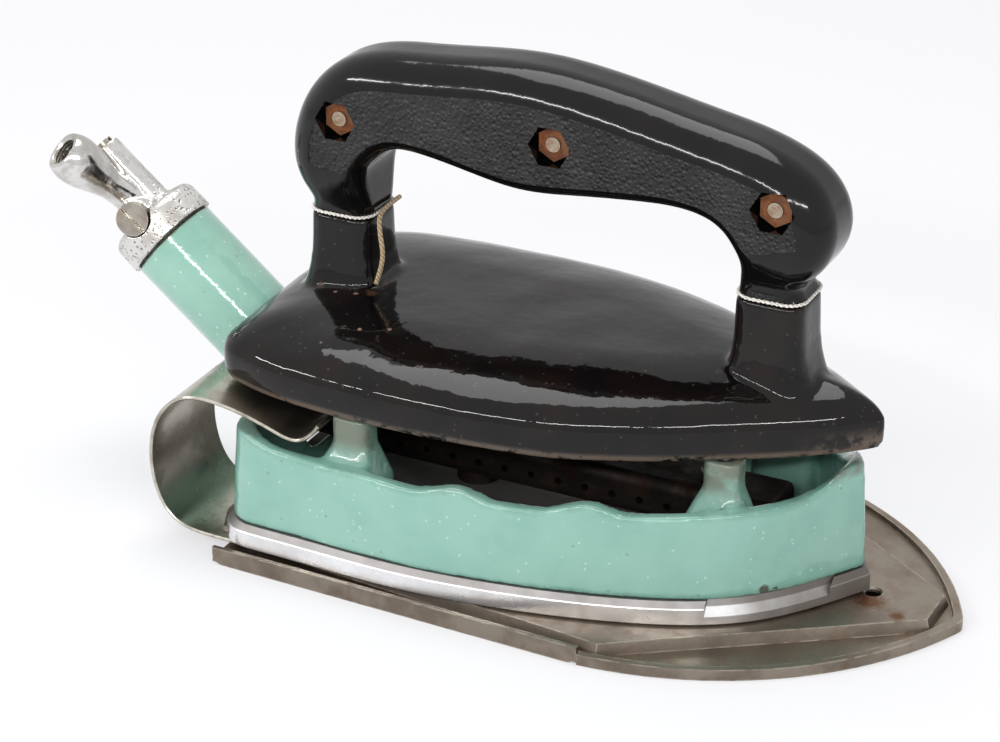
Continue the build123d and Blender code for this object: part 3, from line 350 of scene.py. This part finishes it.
grinding = add_node(sole_tree, "ShaderNodeTexNoise", {
    "Vector": upright_marks, "Scale": 1.0, "Detail": 3.0,
}).outputs["Fac"]
relief(sole_tree, sole_shader, sums(
    sole_tree, "ADD", grinding, sums(sole_tree, "MULTIPLY", sole_skin["Height"], 0.6),
), strength=0.22, distance=0.0002)
dress(sole_metal, "sole_plate")


# Casing. Cast iron walls and pillars under thick green enamel, fired so that it runs soft over each
# edge. It is darker where it pulled thin over the wavy crest, and stained by the flame near the top.
WELD_DISTANCE = 0.00002
GREEN_GLOSS = 0.13


def softened(node, name, voxel, passes, swell, wave):
    """A copy of a packed casting with its edges run soft and its faces slightly uneven."""
    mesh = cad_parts[node].data.copy()
    copy = bpy.data.objects.new(name, mesh)
    bpy.context.scene.collection.objects.link(copy)
    welded = bmesh.new()
    welded.from_mesh(mesh)
    bmesh.ops.remove_doubles(welded, verts=welded.verts, dist=WELD_DISTANCE)
    welded.to_mesh(mesh)
    welded.free()
    remesh = copy.modifiers.new("remesh", "REMESH")
    remesh.mode = "VOXEL"
    remesh.voxel_size = voxel
    remesh.use_smooth_shade = True
    smooth = copy.modifiers.new("smooth", "SMOOTH")
    smooth.factor = 0.5
    smooth.iterations = passes
    shaped = bpy.data.meshes.new_from_object(copy.evaluated_get(bpy.context.evaluated_depsgraph_get()))
    bpy.data.objects.remove(copy)
    normals = [vertex.normal.copy() for vertex in shaped.vertices]
    for vertex, normal in zip(shaped.vertices, normals):
        ripple = noise.noise(vertex.co / wave) * swell
        vertex.co += normal * ripple
    shaped.materials.clear()
    shaped.polygons.foreach_set("use_smooth", [True] * len(shaped.polygons))
    piece = bpy.data.objects.new(name, shaped)
    bpy.context.scene.collection.objects.link(piece)
    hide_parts(node)
    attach(piece, "iron")
    return piece


enamel_skin, enamel_in, enamel_out = effect("enamel_skin", {
    "Colour": paint(112, 168, 150), "Thin Colour": paint(76, 132, 118),
    "Speck Colour": paint(220, 228, 220), "Pit Colour": paint(70, 80, 70), "Speck Amount": 0.6,
    "Pit Amount": 0.4, "Cloud": 0.3,
}, {"Colour": "NodeSocketColor", "Height": "NodeSocketFloat"})
enamel_place = add_node(enamel_skin, "ShaderNodeTexCoord").outputs["Object"]
enamel_cloud = add_node(enamel_skin, "ShaderNodeTexNoise", {
    "Vector": enamel_place, "Scale": 70.0, "Detail": 5.0,
}).outputs["Fac"]
enamel_tint = blend_paint(enamel_skin, sums(
    enamel_skin, "MULTIPLY", enamel_in["Cloud"], grade(enamel_skin, enamel_cloud, 0.35, 0.7),
), enamel_in["Colour"], enamel_in["Thin Colour"])


def sprinkled(tree, place, scale, size, thin):
    """A mask of small separate dots, most of the cells left empty."""
    cells = add_node(tree, "ShaderNodeTexVoronoi", {"Vector": place, "Scale": scale}).outputs
    picked = add_node(tree, "ShaderNodeSeparateColor", {0: cells["Color"]}).outputs["Red"]
    dots = grade(tree, cells["Distance"], size, size * 0.5)
    return sums(tree, "MULTIPLY", dots, grade(tree, picked, thin, thin + 0.02))


pale_specks = sprinkled(enamel_skin, enamel_place, scale=520.0, size=0.24, thin=0.74)
pale_specks = sums(enamel_skin, "MULTIPLY", pale_specks, enamel_in["Speck Amount"])
dark_pits = sprinkled(enamel_skin, enamel_place, scale=230.0, size=0.13, thin=0.8)
dark_pits = sums(enamel_skin, "MULTIPLY", dark_pits, enamel_in["Pit Amount"])
enamel_tint = blend_paint(enamel_skin, pale_specks, enamel_tint, enamel_in["Speck Colour"])
enamel_tint = blend_paint(enamel_skin, dark_pits, enamel_tint, enamel_in["Pit Colour"])
enamel_skin.links.new(enamel_tint, enamel_out["Colour"])
peel = add_node(enamel_skin, "ShaderNodeTexNoise", {
    "Vector": enamel_place, "Scale": 210.0, "Detail": 1.5,
}).outputs["Fac"]
glaze_wave = sums(enamel_skin, "ADD", peel, sums(enamel_skin, "MULTIPLY", enamel_cloud, 1.5))
enamel_skin.links.new(sums(
    enamel_skin, "SUBTRACT", glaze_wave, sums(enamel_skin, "MULTIPLY", dark_pits, 0.5),
), enamel_out["Height"])

casing_tree, casing_shader, green_enamel = finish_of("green_enamel", Coat_Weight=0.5, Coat_Roughness=0.05)
casing_skin = add_node(casing_tree, "ShaderNodeGroup", {
    "Colour": paint(130, 174, 160), "Thin Colour": paint(114, 161, 147), "Speck Amount": 0.3,
    "Pit Amount": 0.3, "Cloud": 0.6,
}, node_tree=enamel_skin).outputs
casing_place = add_node(casing_tree, "ShaderNodeTexCoord").outputs["Object"]
casing_height = add_node(casing_tree, "ShaderNodeSeparateXYZ", {0: casing_place}).outputs["Z"]
pulled_thin = add_node(casing_tree, "ShaderNodeGroup", {
    "Radius": 0.0026, "Breakup": 120.0, "Amount": 0.8,
}, node_tree=edge_wear).outputs["Mask"]
casing_colour = blend_paint(casing_tree, pulled_thin, casing_skin["Colour"], paint(66, 122, 108))
soot_cloud = add_node(casing_tree, "ShaderNodeTexNoise", {
    "Vector": casing_place, "Scale": 95.0, "Detail": 7.0,
}).outputs["Fac"]
soot = sums(
    casing_tree, "MULTIPLY", grade(casing_tree, casing_height, 0.034, 0.0425, 0.0, 0.85),
    grade(casing_tree, soot_cloud, 0.38, 0.58),
)
casing_colour = blend_paint(casing_tree, soot, casing_colour, paint(96, 92, 78))
casing_chips = spots(casing_tree, [
    (78.2, -28.2, 19.3, 1.3), (80.5, -27.2, 18.2, 0.8), (75.6, -29.0, 19.8, 0.7),
    (87.5, -25.6, 13.6, 1.6), (90.0, -23.6, 13.3, 1.2), (-45.0, -51.5, 27.0, 0.5),
    (12.0, -50.0, 22.0, 0.4), (52.0, -43.0, 26.0, 0.5),
])
casing_colour = blend_paint(casing_tree, casing_chips, casing_colour, paint(74, 82, 70))
casing_tree.links.new(casing_colour, casing_shader.inputs["Base Color"])
casing_damage = sums(casing_tree, "MAXIMUM", soot, casing_chips)
casing_tree.links.new(sums(
    casing_tree, "ADD", GREEN_GLOSS, sums(casing_tree, "MULTIPLY", casing_damage, 0.35),
), casing_shader.inputs["Roughness"])
relief(casing_tree, casing_shader, sums(
    casing_tree, "SUBTRACT", casing_skin["Height"], sums(casing_tree, "MULTIPLY", casing_chips, 2.0),
), strength=0.4, distance=0.0007)
casing = softened("body_casing", "casing_shell", voxel=0.0008, passes=7, swell=0.00022, wave=0.012)
casing.data.materials.append(green_enamel)

# Mixing tube. A plain iron pipe under a paler coat of the same enamel, with a small steel set screw
# below its top end and a dark fibre gasket against the cap.
tube_tree, tube_shader, tube_enamel = finish_of(
    "tube_enamel", roughness=0.12, Coat_Weight=0.5, Coat_Roughness=0.04,
)
tube_skin = add_node(tube_tree, "ShaderNodeGroup", {
    "Colour": paint(142, 186, 170), "Thin Colour": paint(118, 168, 152), "Speck Amount": 0.5,
    "Pit Amount": 0.4, "Cloud": 0.5,
}, node_tree=enamel_skin).outputs
tube_edge = add_node(tube_tree, "ShaderNodeGroup", {
    "Radius": 0.0008, "Breakup": 300.0, "Amount": 1.0,
}, node_tree=edge_wear).outputs["Mask"]
tube_colour = blend_paint(tube_tree, tube_edge, tube_skin["Colour"], paint(84, 88, 76))
tube_tree.links.new(tube_colour, tube_shader.inputs["Base Color"])
relief(tube_tree, tube_shader, tube_skin["Height"], strength=0.35, distance=0.0007)
dress(tube_enamel, "mixing_tube")
screw_metal = steel_finish(
    "screw_metal", clean=(160, 156, 150), stain=(104, 96, 88), rust=(112, 74, 46),
    bright=(206, 202, 196), scale=120.0, stain_amount=0.6, rust_amount=0.35, smooth=0.3, rough=0.5,
    edge=0.0004, edge_amount=0.7, bump=0.2,
)
dress(screw_metal, "tube_set_screw", "sole_screws", "cover_screws", "burner_screws", "shield_screws",
      "stud_nuts", "stud_washers")

# Burner. A cast iron bar with flame ports lies over the sole under a thin steel shield, and a brass jet
# feeds it from the cap. All of it is brown and grey from the flame, and the bar and the shield are
# painted darker still as painted shade for the dark inside of the casing.
# The bar's colours are darker than burnt iron alone: part real burnt colour, part painted shade for the
# dark inside of the casing.
burnt_iron_and_painted_shade = steel_finish(
    "burnt_iron_and_painted_shade", clean=(58, 53, 50), stain=(36, 32, 30), rust=(62, 42, 32), bright=(80, 74, 68),
    scale=70.0, stain_amount=0.8, rust_amount=0.5, smooth=0.5, rough=0.75, edge=0.0006, edge_amount=0.4,
    bump=0.4,
)
dress(burnt_iron_and_painted_shade, "burner_bar")
# The shield's colours are darkened in the same way: part real burnt colour, part painted shade for the
# dark inside of the casing. The handle's steel bar takes this finish too.
shield_metal_and_painted_shade = steel_finish(
    "shield_metal_and_painted_shade", clean=(72, 68, 65), stain=(46, 42, 40), rust=(70, 48, 36), bright=(92, 88, 84),
    scale=50.0, stain_amount=0.7, rust_amount=0.4, smooth=0.45, rough=0.7, edge=0.0004, edge_amount=0.5,
    bump=0.2,
)
dress(shield_metal_and_painted_shade, "heat_shield", "handle_core")
jet_metal = steel_finish(
    "jet_metal", clean=(196, 162, 92), stain=(140, 108, 62), rust=(96, 74, 44), bright=(222, 192, 124),
    scale=150.0, stain_amount=0.5, rust_amount=0.2, smooth=0.22, rough=0.45, edge=0.0003,
    edge_amount=0.7, bump=0.1,
)
dress(jet_metal, "gas_jet")

# Cover. A domed iron casting with its two handle sockets under deep black enamel. The glaze runs in
# slow waves, and the rim and the socket feet have small chips where the brown ground coat shows.
BLACK_GLOSS = 0.05
cover_tree, cover_shader, black_enamel = finish_of("black_enamel", Specular_IOR_Level=0.3)
cover_skin = add_node(cover_tree, "ShaderNodeGroup", {
    "Colour": paint(13, 11, 11), "Thin Colour": paint(24, 17, 14),
    "Speck Colour": paint(120, 112, 104), "Pit Colour": paint(62, 50, 42), "Speck Amount": 0.14,
    "Pit Amount": 0.3, "Cloud": 0.8,
}, node_tree=enamel_skin).outputs
cover_place = add_node(cover_tree, "ShaderNodeTexCoord").outputs["Object"]
cover_axes = add_node(cover_tree, "ShaderNodeSeparateXYZ", {0: cover_place}).outputs
rim_noise = add_node(cover_tree, "ShaderNodeTexNoise", {
    "Vector": cover_place, "Scale": 160.0, "Detail": 7.0, "Roughness": 0.65,
}).outputs["Fac"]
rim_wear = sums(
    cover_tree, "MULTIPLY", grade(cover_tree, cover_axes["Z"], 0.0505, 0.0488),
    grade(cover_tree, rim_noise, 0.38, 0.5),
)
at_nose = sums(
    cover_tree, "MULTIPLY", grade(cover_tree, cover_axes["X"], 0.088, 0.104),
    grade(cover_tree, cover_axes["Z"], 0.0555, 0.0495),
)
nose_wear = sums(cover_tree, "MULTIPLY", at_nose, grade(cover_tree, rim_noise, 0.44, 0.56))
rim_wear = sums(cover_tree, "MAXIMUM", rim_wear, nose_wear)
cover_colour = blend_paint(cover_tree, rim_wear, cover_skin["Colour"], paint(92, 80, 70))
foot_rust = spots(cover_tree, [
    (-34.5, -11.5, 67.0, 2.2), (-57.0, -10.5, 67.0, 1.6), (-50.0, -12.0, 66.2, 1.2),
    (67.0, -11.0, 66.5, 1.4), (-34.0, -4.0, 66.5, 1.3),
], ragged=1.6, soft=0.6)
foot_chips = spots(cover_tree, [
    (-38.0, -13.5, 66.4, 0.9), (-44.0, -14.2, 66.2, 0.7), (-35.2, -38.3, 64.0, 0.9),
    (-27.7, -30.1, 65.3, 0.8), (-20.0, -27.6, 65.6, 0.9), (-6.0, -34.0, 64.0, 0.4),
    (49.7, -19.2, 65.3, 0.6), (20.0, -30.0, 64.5, 0.4),
], ragged=1.3, soft=0.3)
cover_colour = blend_paint(
    cover_tree, sums(cover_tree, "MULTIPLY", foot_rust, 0.7), cover_colour, paint(74, 48, 34),
)
cover_colour = blend_paint(
    cover_tree, sums(cover_tree, "MULTIPLY", foot_chips, 0.75), cover_colour, paint(150, 122, 108),
)
cover_tree.links.new(cover_colour, cover_shader.inputs["Base Color"])
foot_damage = sums(cover_tree, "MAXIMUM", foot_rust, foot_chips)
cover_damage = sums(cover_tree, "MAXIMUM", foot_damage, rim_wear)
cover_tree.links.new(sums(
    cover_tree, "ADD", BLACK_GLOSS, sums(cover_tree, "MULTIPLY", cover_damage, 0.4),
), cover_shader.inputs["Roughness"])
relief(cover_tree, cover_shader, sums(
    cover_tree, "SUBTRACT", cover_skin["Height"], sums(cover_tree, "MULTIPLY", cover_damage, 0.6),
), strength=0.2, distance=0.0005)
cover = softened("top_cover", "cover_shell", voxel=0.0008, passes=8, swell=0.0003, wave=0.016)
cover.data.materials.append(black_enamel)

# Injector cap. A nickelled casting screwed over the tube, with a polished nozzle for the gas hose. The
# plating on its flange has pitted, its slotted screws are steel, and a thread runs inside the nozzle.
cap_tree, cap_shader, cap_nickel = finish_of("cap_nickel", metallic=1.0)
cap_skin = add_node(cap_tree, "ShaderNodeGroup", {
    "Clean": paint(222, 221, 218), "Stain": paint(168, 162, 154), "Rust": paint(118, 102, 88),
    "Scale": 110.0, "Stain Amount": 0.6, "Rust Amount": 0.25, "Smooth": 0.07, "Rough": 0.26,
}, node_tree=steel_skin).outputs
cap_place = add_node(cap_tree, "ShaderNodeTexCoord").outputs["Object"]
cap_axes = add_node(cap_tree, "ShaderNodeSeparateXYZ", {0: cap_place}).outputs
pitted = grade(cap_tree, sums(
    cap_tree, "ADD", cap_axes["X"], sums(cap_tree, "MULTIPLY", cap_axes["Z"], -0.6),
), -0.163, -0.152)
pits = sprinkled(cap_tree, cap_place, scale=900.0, size=0.42, thin=0.35)
pits = sums(cap_tree, "MULTIPLY", pits, pitted)
cap_colour = blend_paint(
    cap_tree, sums(cap_tree, "MULTIPLY", pits, 0.75), cap_skin["Colour"], paint(104, 92, 80),
)
cap_tree.links.new(cap_colour, cap_shader.inputs["Base Color"])
cap_tree.links.new(sums(
    cap_tree, "ADD", cap_skin["Roughness"], sums(cap_tree, "MULTIPLY", pitted, 0.16),
), cap_shader.inputs["Roughness"])
relief(cap_tree, cap_shader, sums(
    cap_tree, "SUBTRACT", sums(cap_tree, "MULTIPLY", cap_skin["Height"], 0.7),
    sums(cap_tree, "MULTIPLY", pits, 1.2),
), strength=0.3, distance=0.0003)
cap = softened("injector_cap", "cap_casting", voxel=0.00032, passes=3, swell=0.00008, wave=0.004)
cap.data.materials.append(cap_nickel)
knob_metal = steel_finish(
    "knob_metal", clean=(186, 180, 170), stain=(118, 108, 98), rust=(104, 76, 54),
    bright=(226, 222, 214), scale=160.0, stain_amount=0.65, rust_amount=0.3, smooth=0.16, rough=0.4,
    edge=0.0004, edge_amount=0.85, bump=0.15,
)
dress(knob_metal, "needle_screw", "regulating_screw")
gasket_tree, gasket_shader, gasket_fibre = finish_of("gasket_fibre", roughness=0.8)
gasket_flecks = add_node(gasket_tree, "ShaderNodeTexNoise", {
    "Vector": add_node(gasket_tree, "ShaderNodeTexCoord").outputs["Object"], "Scale": 900.0,
    "Detail": 4.0,
}).outputs["Fac"]
gasket_tree.links.new(blend_paint(
    gasket_tree, grade(gasket_tree, gasket_flecks, 0.4, 0.62), paint(44, 38, 33), paint(84, 74, 64),
), gasket_shader.inputs["Base Color"])
relief(gasket_tree, gasket_shader, gasket_flecks, strength=0.5, distance=0.0003)
dress(gasket_fibre, "cap_gasket")

NOZZLE_MOUTH = Vector((-0.12785, -0.01728, 0.09333))
NOZZLE_AXIS = Vector((-0.4975, -0.5237, 0.6915)).normalized()
NOZZLE_BORE = 0.00424
THREAD_PITCH = 0.0009
THREAD_DEPTH = 0.00042
THREAD_TURNS = 9
THREAD_START = 0.0004
THREAD_FOOT = 0.00008
THREAD_FLANK = THREAD_PITCH * 0.36
STEPS_A_TURN = 48
across = NOZZLE_AXIS.orthogonal().normalized()
beside = NOZZLE_AXIS.cross(across)
thread_mesh = bmesh.new()
last_ring = None
for step in range(THREAD_TURNS * STEPS_A_TURN + 1):
    angle = 2 * pi * step / STEPS_A_TURN
    outward = across * cos(angle) + beside * sin(angle)
    along = NOZZLE_MOUTH - NOZZLE_AXIS * (THREAD_START + THREAD_PITCH * step / STEPS_A_TURN)
    ring = [thread_mesh.verts.new(along + outward * radius + NOZZLE_AXIS * shift) for radius, shift in (
        (NOZZLE_BORE + THREAD_FOOT, THREAD_FLANK), (NOZZLE_BORE - THREAD_DEPTH, 0.0),
        (NOZZLE_BORE + THREAD_FOOT, -THREAD_FLANK),
    )]
    if last_ring:
        join_rings(thread_mesh, last_ring, ring)
    else:
        thread_mesh.faces.new(ring)
    last_ring = ring
thread_mesh.faces.new(reversed(last_ring))
bmesh.ops.recalc_face_normals(thread_mesh, faces=thread_mesh.faces)
thread_data = bpy.data.meshes.new("nozzle_thread")
thread_mesh.to_mesh(thread_data)
thread_mesh.free()
nozzle_thread = bpy.data.objects.new("nozzle_thread", thread_data)
bpy.context.scene.collection.objects.link(nozzle_thread)
thread_data.materials.append(knob_metal)
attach(nozzle_thread, "iron")

# Handle. Two pressed halves of black bakelite bolted together over a steel bar. The body is polished,
# the sunk side panels are pebbled, and the nuts and bolt ends in them have rusted.
PEBBLE_SCALE = 950.0
POLISHED_GLOSS = 0.1
handle_tree, handle_shader, bakelite = finish_of("bakelite", Specular_IOR_Level=0.32)
handle_place = add_node(handle_tree, "ShaderNodeTexCoord").outputs
panel_turn = sums(handle_tree, "ABSOLUTE", add_node(handle_tree, "ShaderNodeSeparateXYZ", {
    0: handle_place["Normal"],
}).outputs["Y"])
panel = grade(handle_tree, panel_turn, 0.9965, 0.999)
pebbles = add_node(handle_tree, "ShaderNodeTexVoronoi", {
    "Vector": handle_place["Object"], "Scale": PEBBLE_SCALE, "Smoothness": 0.8,
}, feature="SMOOTH_F1").outputs["Distance"]
handle_dust = add_node(handle_tree, "ShaderNodeTexNoise", {
    "Vector": handle_place["Object"], "Scale": 80.0, "Detail": 6.0,
}).outputs["Fac"]
faded = grade(handle_tree, handle_dust, 0.45, 0.75, 0.0, 0.5)
polished = blend_paint(handle_tree, faded, paint(10, 9, 9), paint(22, 18, 16))
panel_tint = blend_paint(
    handle_tree, grade(handle_tree, handle_dust, 0.4, 0.65), paint(26, 26, 26), paint(38, 37, 36),
)
handle_colour = blend_paint(handle_tree, panel, polished, panel_tint)
handle_tree.links.new(handle_colour, handle_shader.inputs["Base Color"])
handle_tree.links.new(sums(
    handle_tree, "ADD", POLISHED_GLOSS, sums(handle_tree, "MULTIPLY", panel, 0.3),
), handle_shader.inputs["Roughness"])
handle_wave = add_node(handle_tree, "ShaderNodeTexNoise", {
    "Vector": handle_place["Object"], "Scale": 130.0, "Detail": 1.0,
}).outputs["Fac"]
relief(handle_tree, handle_shader, sums(
    handle_tree, "ADD", sums(handle_tree, "MULTIPLY", handle_wave, 0.35),
    sums(handle_tree, "MULTIPLY", sums(handle_tree, "MULTIPLY", panel, pebbles), -2.6),
), strength=0.5, distance=0.0007)
dress(bakelite, "handle_left_shell", "handle_right_shell")
rusty_metal = steel_finish(
    "rusty_metal", clean=(122, 78, 48), stain=(92, 52, 30), rust=(146, 84, 44), bright=(150, 110, 78),
    scale=240.0, stain_amount=0.8, rust_amount=0.8, smooth=0.5, rough=0.8, edge=0.0004, edge_amount=0.4,
    bump=0.5, metallic=0.35,
)
dress(rusty_metal, "handle_hex_nuts")
bolt_metal = steel_finish(
    "bolt_metal", clean=(176, 164, 146), stain=(138, 116, 92), rust=(132, 88, 56),
    bright=(204, 196, 182), scale=260.0, stain_amount=0.7, rust_amount=0.4, smooth=0.35, rough=0.6,
    edge=0.0004, edge_amount=0.6, bump=0.3, metallic=0.7,
)
dress(bolt_metal, "handle_bolts")

# Packing and string. White heat-proof cord is wound round each joint between socket and handle leg,
# and a loose tail of the rear winding hangs beside its socket, gone beige from handling.
STRING_ROUTE = [
    (-0.03558, 0.0075, 0.0876), (-0.03528, 0.0005, 0.0880), (-0.03468, -0.0060, 0.0875),
    (-0.03248, -0.0095, 0.0837), (-0.03108, -0.0104, 0.0787), (-0.03188, -0.0106, 0.0737),
    (-0.03328, -0.0108, 0.0697),
]
STRING_RADIUS = 0.00065


def yarn_finish(name, light, dark, scale):
    """Spun cotton: small twisted fibres in two close tones."""
    tree, shader, material = finish_of(name, roughness=0.85, Sheen_Weight=0.3)
    place = add_node(tree, "ShaderNodeTexCoord").outputs["Object"]
    twist = add_node(tree, "ShaderNodeTexWave", {
        "Vector": place, "Scale": scale, "Distortion": 2.5, "Detail": 2.0, "Detail Scale": 3.0,
    }, bands_direction="DIAGONAL").outputs["Fac"]
    tree.links.new(blend_paint(tree, twist, paint(*dark), paint(*light)), shader.inputs["Base Color"])
    relief(tree, shader, twist, strength=0.8, distance=0.0003)
    return material


string_yarn = yarn_finish("string_yarn", (196, 172, 134), (142, 116, 82), 420.0)
packing_yarn = yarn_finish("packing_yarn", (244, 241, 234), (206, 199, 188), 380.0)
string_line = bpy.data.curves.new("string_tail_yarn", "CURVE")
string_line.dimensions = "3D"
string_run = string_line.splines.new("NURBS")
string_run.points.add(len(STRING_ROUTE) - 1)
for point, place in zip(string_run.points, STRING_ROUTE):
    point.co = (*place, 1.0)
string_run.order_u = 3
string_run.use_endpoint_u = True
string_run.resolution_u = 12
string_line.bevel_depth = STRING_RADIUS
string_line.bevel_resolution = 4
string_line.use_fill_caps = True
string_tail = bpy.data.objects.new("string_tail_yarn", string_line)
bpy.context.scene.collection.objects.link(string_tail)
string_line.materials.append(string_yarn)
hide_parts("string_tail")
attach(string_tail, "iron")


PACKING_CORNER = 0.0052
PACKING_TWISTS = 26
PACKING_WOBBLE = 0.00012
STRAND_SHARE = 0.34
STRAND_STEPS = 220
STRAND_SIDES = 8


def wound_packing(node, seed):
    """Two strands twisted round each other and squeezed flat between socket and handle leg."""
    low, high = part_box(node)
    middle = (low + high) / 2
    half = (high.x - low.x) / 2
    strand_radius = (high.z - low.z) * STRAND_SHARE
    straight = half - strand_radius * 1.35 - PACKING_CORNER
    mesh = bmesh.new()
    for strand in range(2):
        rings = []
        for step in range(STRAND_STEPS):
            share = step / STRAND_STEPS
            quarter = int(share * 4)
            run = share * 4 - quarter
            bend = quarter * pi / 2
            if run < 0.5:
                local = Vector((straight + PACKING_CORNER, (run * 4 - 1) * straight, 0))
                out = Vector((1, 0, 0))
            else:
                sweep = (run - 0.5) * pi
                out = Vector((cos(sweep), sin(sweep), 0))
                local = Vector((straight, straight, 0)) + out * PACKING_CORNER
            turn = Matrix.Rotation(bend, 3, "Z")
            out = turn @ out
            local = turn @ local
            twist = 2 * pi * share * PACKING_TWISTS + strand * pi
            wobble = noise.noise(Vector((share * 30, seed, strand))) * PACKING_WOBBLE
            centre = middle + local + out * (cos(twist) * strand_radius * 0.6 + wobble)
            centre.z += sin(twist) * strand_radius * 0.45
            rings.append([mesh.verts.new(
                centre + out * cos(2 * pi * k / STRAND_SIDES) * strand_radius
                + Vector((0, 0, sin(2 * pi * k / STRAND_SIDES) * strand_radius * 0.95))
            ) for k in range(STRAND_SIDES)])
        for ring, following in zip(rings, rings[1:] + rings[:1]):
            join_rings(mesh, ring, following)
    bmesh.ops.recalc_face_normals(mesh, faces=mesh.faces)
    data = bpy.data.meshes.new(node + "_winding")
    mesh.to_mesh(data)
    mesh.free()
    data.polygons.foreach_set("use_smooth", [True] * len(data.polygons))
    winding = bpy.data.objects.new(node + "_winding", data)
    bpy.context.scene.collection.objects.link(winding)
    data.materials.append(packing_yarn)
    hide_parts(node)
    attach(winding, "iron")


wound_packing("front_packing", 3.0)
wound_packing("rear_packing", 7.0)

# Table, backdrop and view. A white table runs up into a white surround, and the camera stands above
# the iron's right side with a long lens, a little over three quarters of a metre away.
VIEW_AZIMUTH = radians(26.5)
VIEW_HEIGHT = radians(26.5)
VIEW_DISTANCE = 0.814
VIEW_LENS = 108.0
VIEW_TARGET = Vector((-0.0014, 0.0, 0.0456))
back = Vector((
    sin(VIEW_AZIMUTH) * cos(VIEW_HEIGHT), -cos(VIEW_AZIMUTH) * cos(VIEW_HEIGHT), sin(VIEW_HEIGHT),
))
right = Vector((cos(VIEW_AZIMUTH), sin(VIEW_AZIMUTH), 0.0))
view = bpy.data.cameras.new("view")
view.lens = VIEW_LENS
view.sensor_width = 36.0
camera = bpy.data.objects.new("camera", view)
camera.matrix_world = Matrix.Translation(VIEW_TARGET + back * VIEW_DISTANCE) @ Matrix(
    (right, back.cross(right), back)
).transposed().to_4x4()
bpy.context.scene.collection.objects.link(camera)
bpy.context.scene.camera = camera

bpy.ops.mesh.primitive_plane_add(size=8.0, location=(0, 0, 0))
table = bpy.context.object
table.name = "table"
TABLE_GLOW = 0.55
table_tree, table_shader, table_paint = finish_of("table_paint", roughness=0.7)
table_shader.inputs["Base Color"].default_value = paint(238, 238, 240)
seen = add_node(table_tree, "ShaderNodeLightPath").outputs
glow = add_node(table_tree, "ShaderNodeEmission", {"Color": paint(243, 243, 246), "Strength": 1.0})
directly_seen = sums(table_tree, "MAXIMUM", seen["Is Camera Ray"], seen["Is Glossy Ray"])
lit = add_node(table_tree, "ShaderNodeMixShader", {
    0: sums(table_tree, "MULTIPLY", directly_seen, TABLE_GLOW), 1: table_shader.outputs[0],
    2: glow.outputs[0],
})
table_tree.links.new(lit.outputs[0], table_tree.nodes["Material Output"].inputs["Surface"])
table.data.materials.append(table_paint)

world = bpy.data.worlds.new("studio")
bpy.context.scene.world = world
world.use_nodes = True
studio = world.node_tree
around = add_node(studio, "ShaderNodeLightPath").outputs
shown = sums(
    studio, "MAXIMUM", sums(studio, "MULTIPLY", around["Is Glossy Ray"], 0.7),
    sums(studio, "MAXIMUM", around["Is Camera Ray"], around["Is Transmission Ray"]),
)
surround = studio.nodes["Background"]
surround.inputs["Color"].default_value = (1, 1, 1, 1)
studio.links.new(
    add_node(studio, "ShaderNodeMapRange", {"Value": shown, "To Min": 0.5, "To Max": 1.0}).outputs[0],
    surround.inputs["Strength"],
)


def softbox(name, place, aim, width, height, power):
    """A rectangular area lamp that points at aim."""
    lamp = bpy.data.lights.new(name, "AREA")
    lamp.shape = "RECTANGLE"
    lamp.size = width
    lamp.size_y = height
    lamp.energy = power
    light = bpy.data.objects.new(name, lamp)
    light.location = place
    light.rotation_euler = (Vector(aim) - Vector(place)).to_track_quat("-Z", "Y").to_euler()
    bpy.context.scene.collection.objects.link(light)


LAMP_AIM = (0, 0, 0.05)
STRIP_BEARINGS = (-140, -108, -76, -44)
STRIP_DISTANCE = 1.12
STRIP_HEIGHT = 0.7
softbox("top_softbox", (-0.15, 0.25, 1.15), LAMP_AIM, width=0.9, height=0.6, power=7.5)
for number, bearing in enumerate(STRIP_BEARINGS):
    strip_place = (
        STRIP_DISTANCE * cos(radians(bearing)), STRIP_DISTANCE * sin(radians(bearing)), STRIP_HEIGHT,
    )
    softbox(f"strip_softbox_{number + 1}", strip_place, LAMP_AIM, width=0.56, height=0.04, power=3.4)
bpy.context.scene.view_settings.view_transform = "Standard"
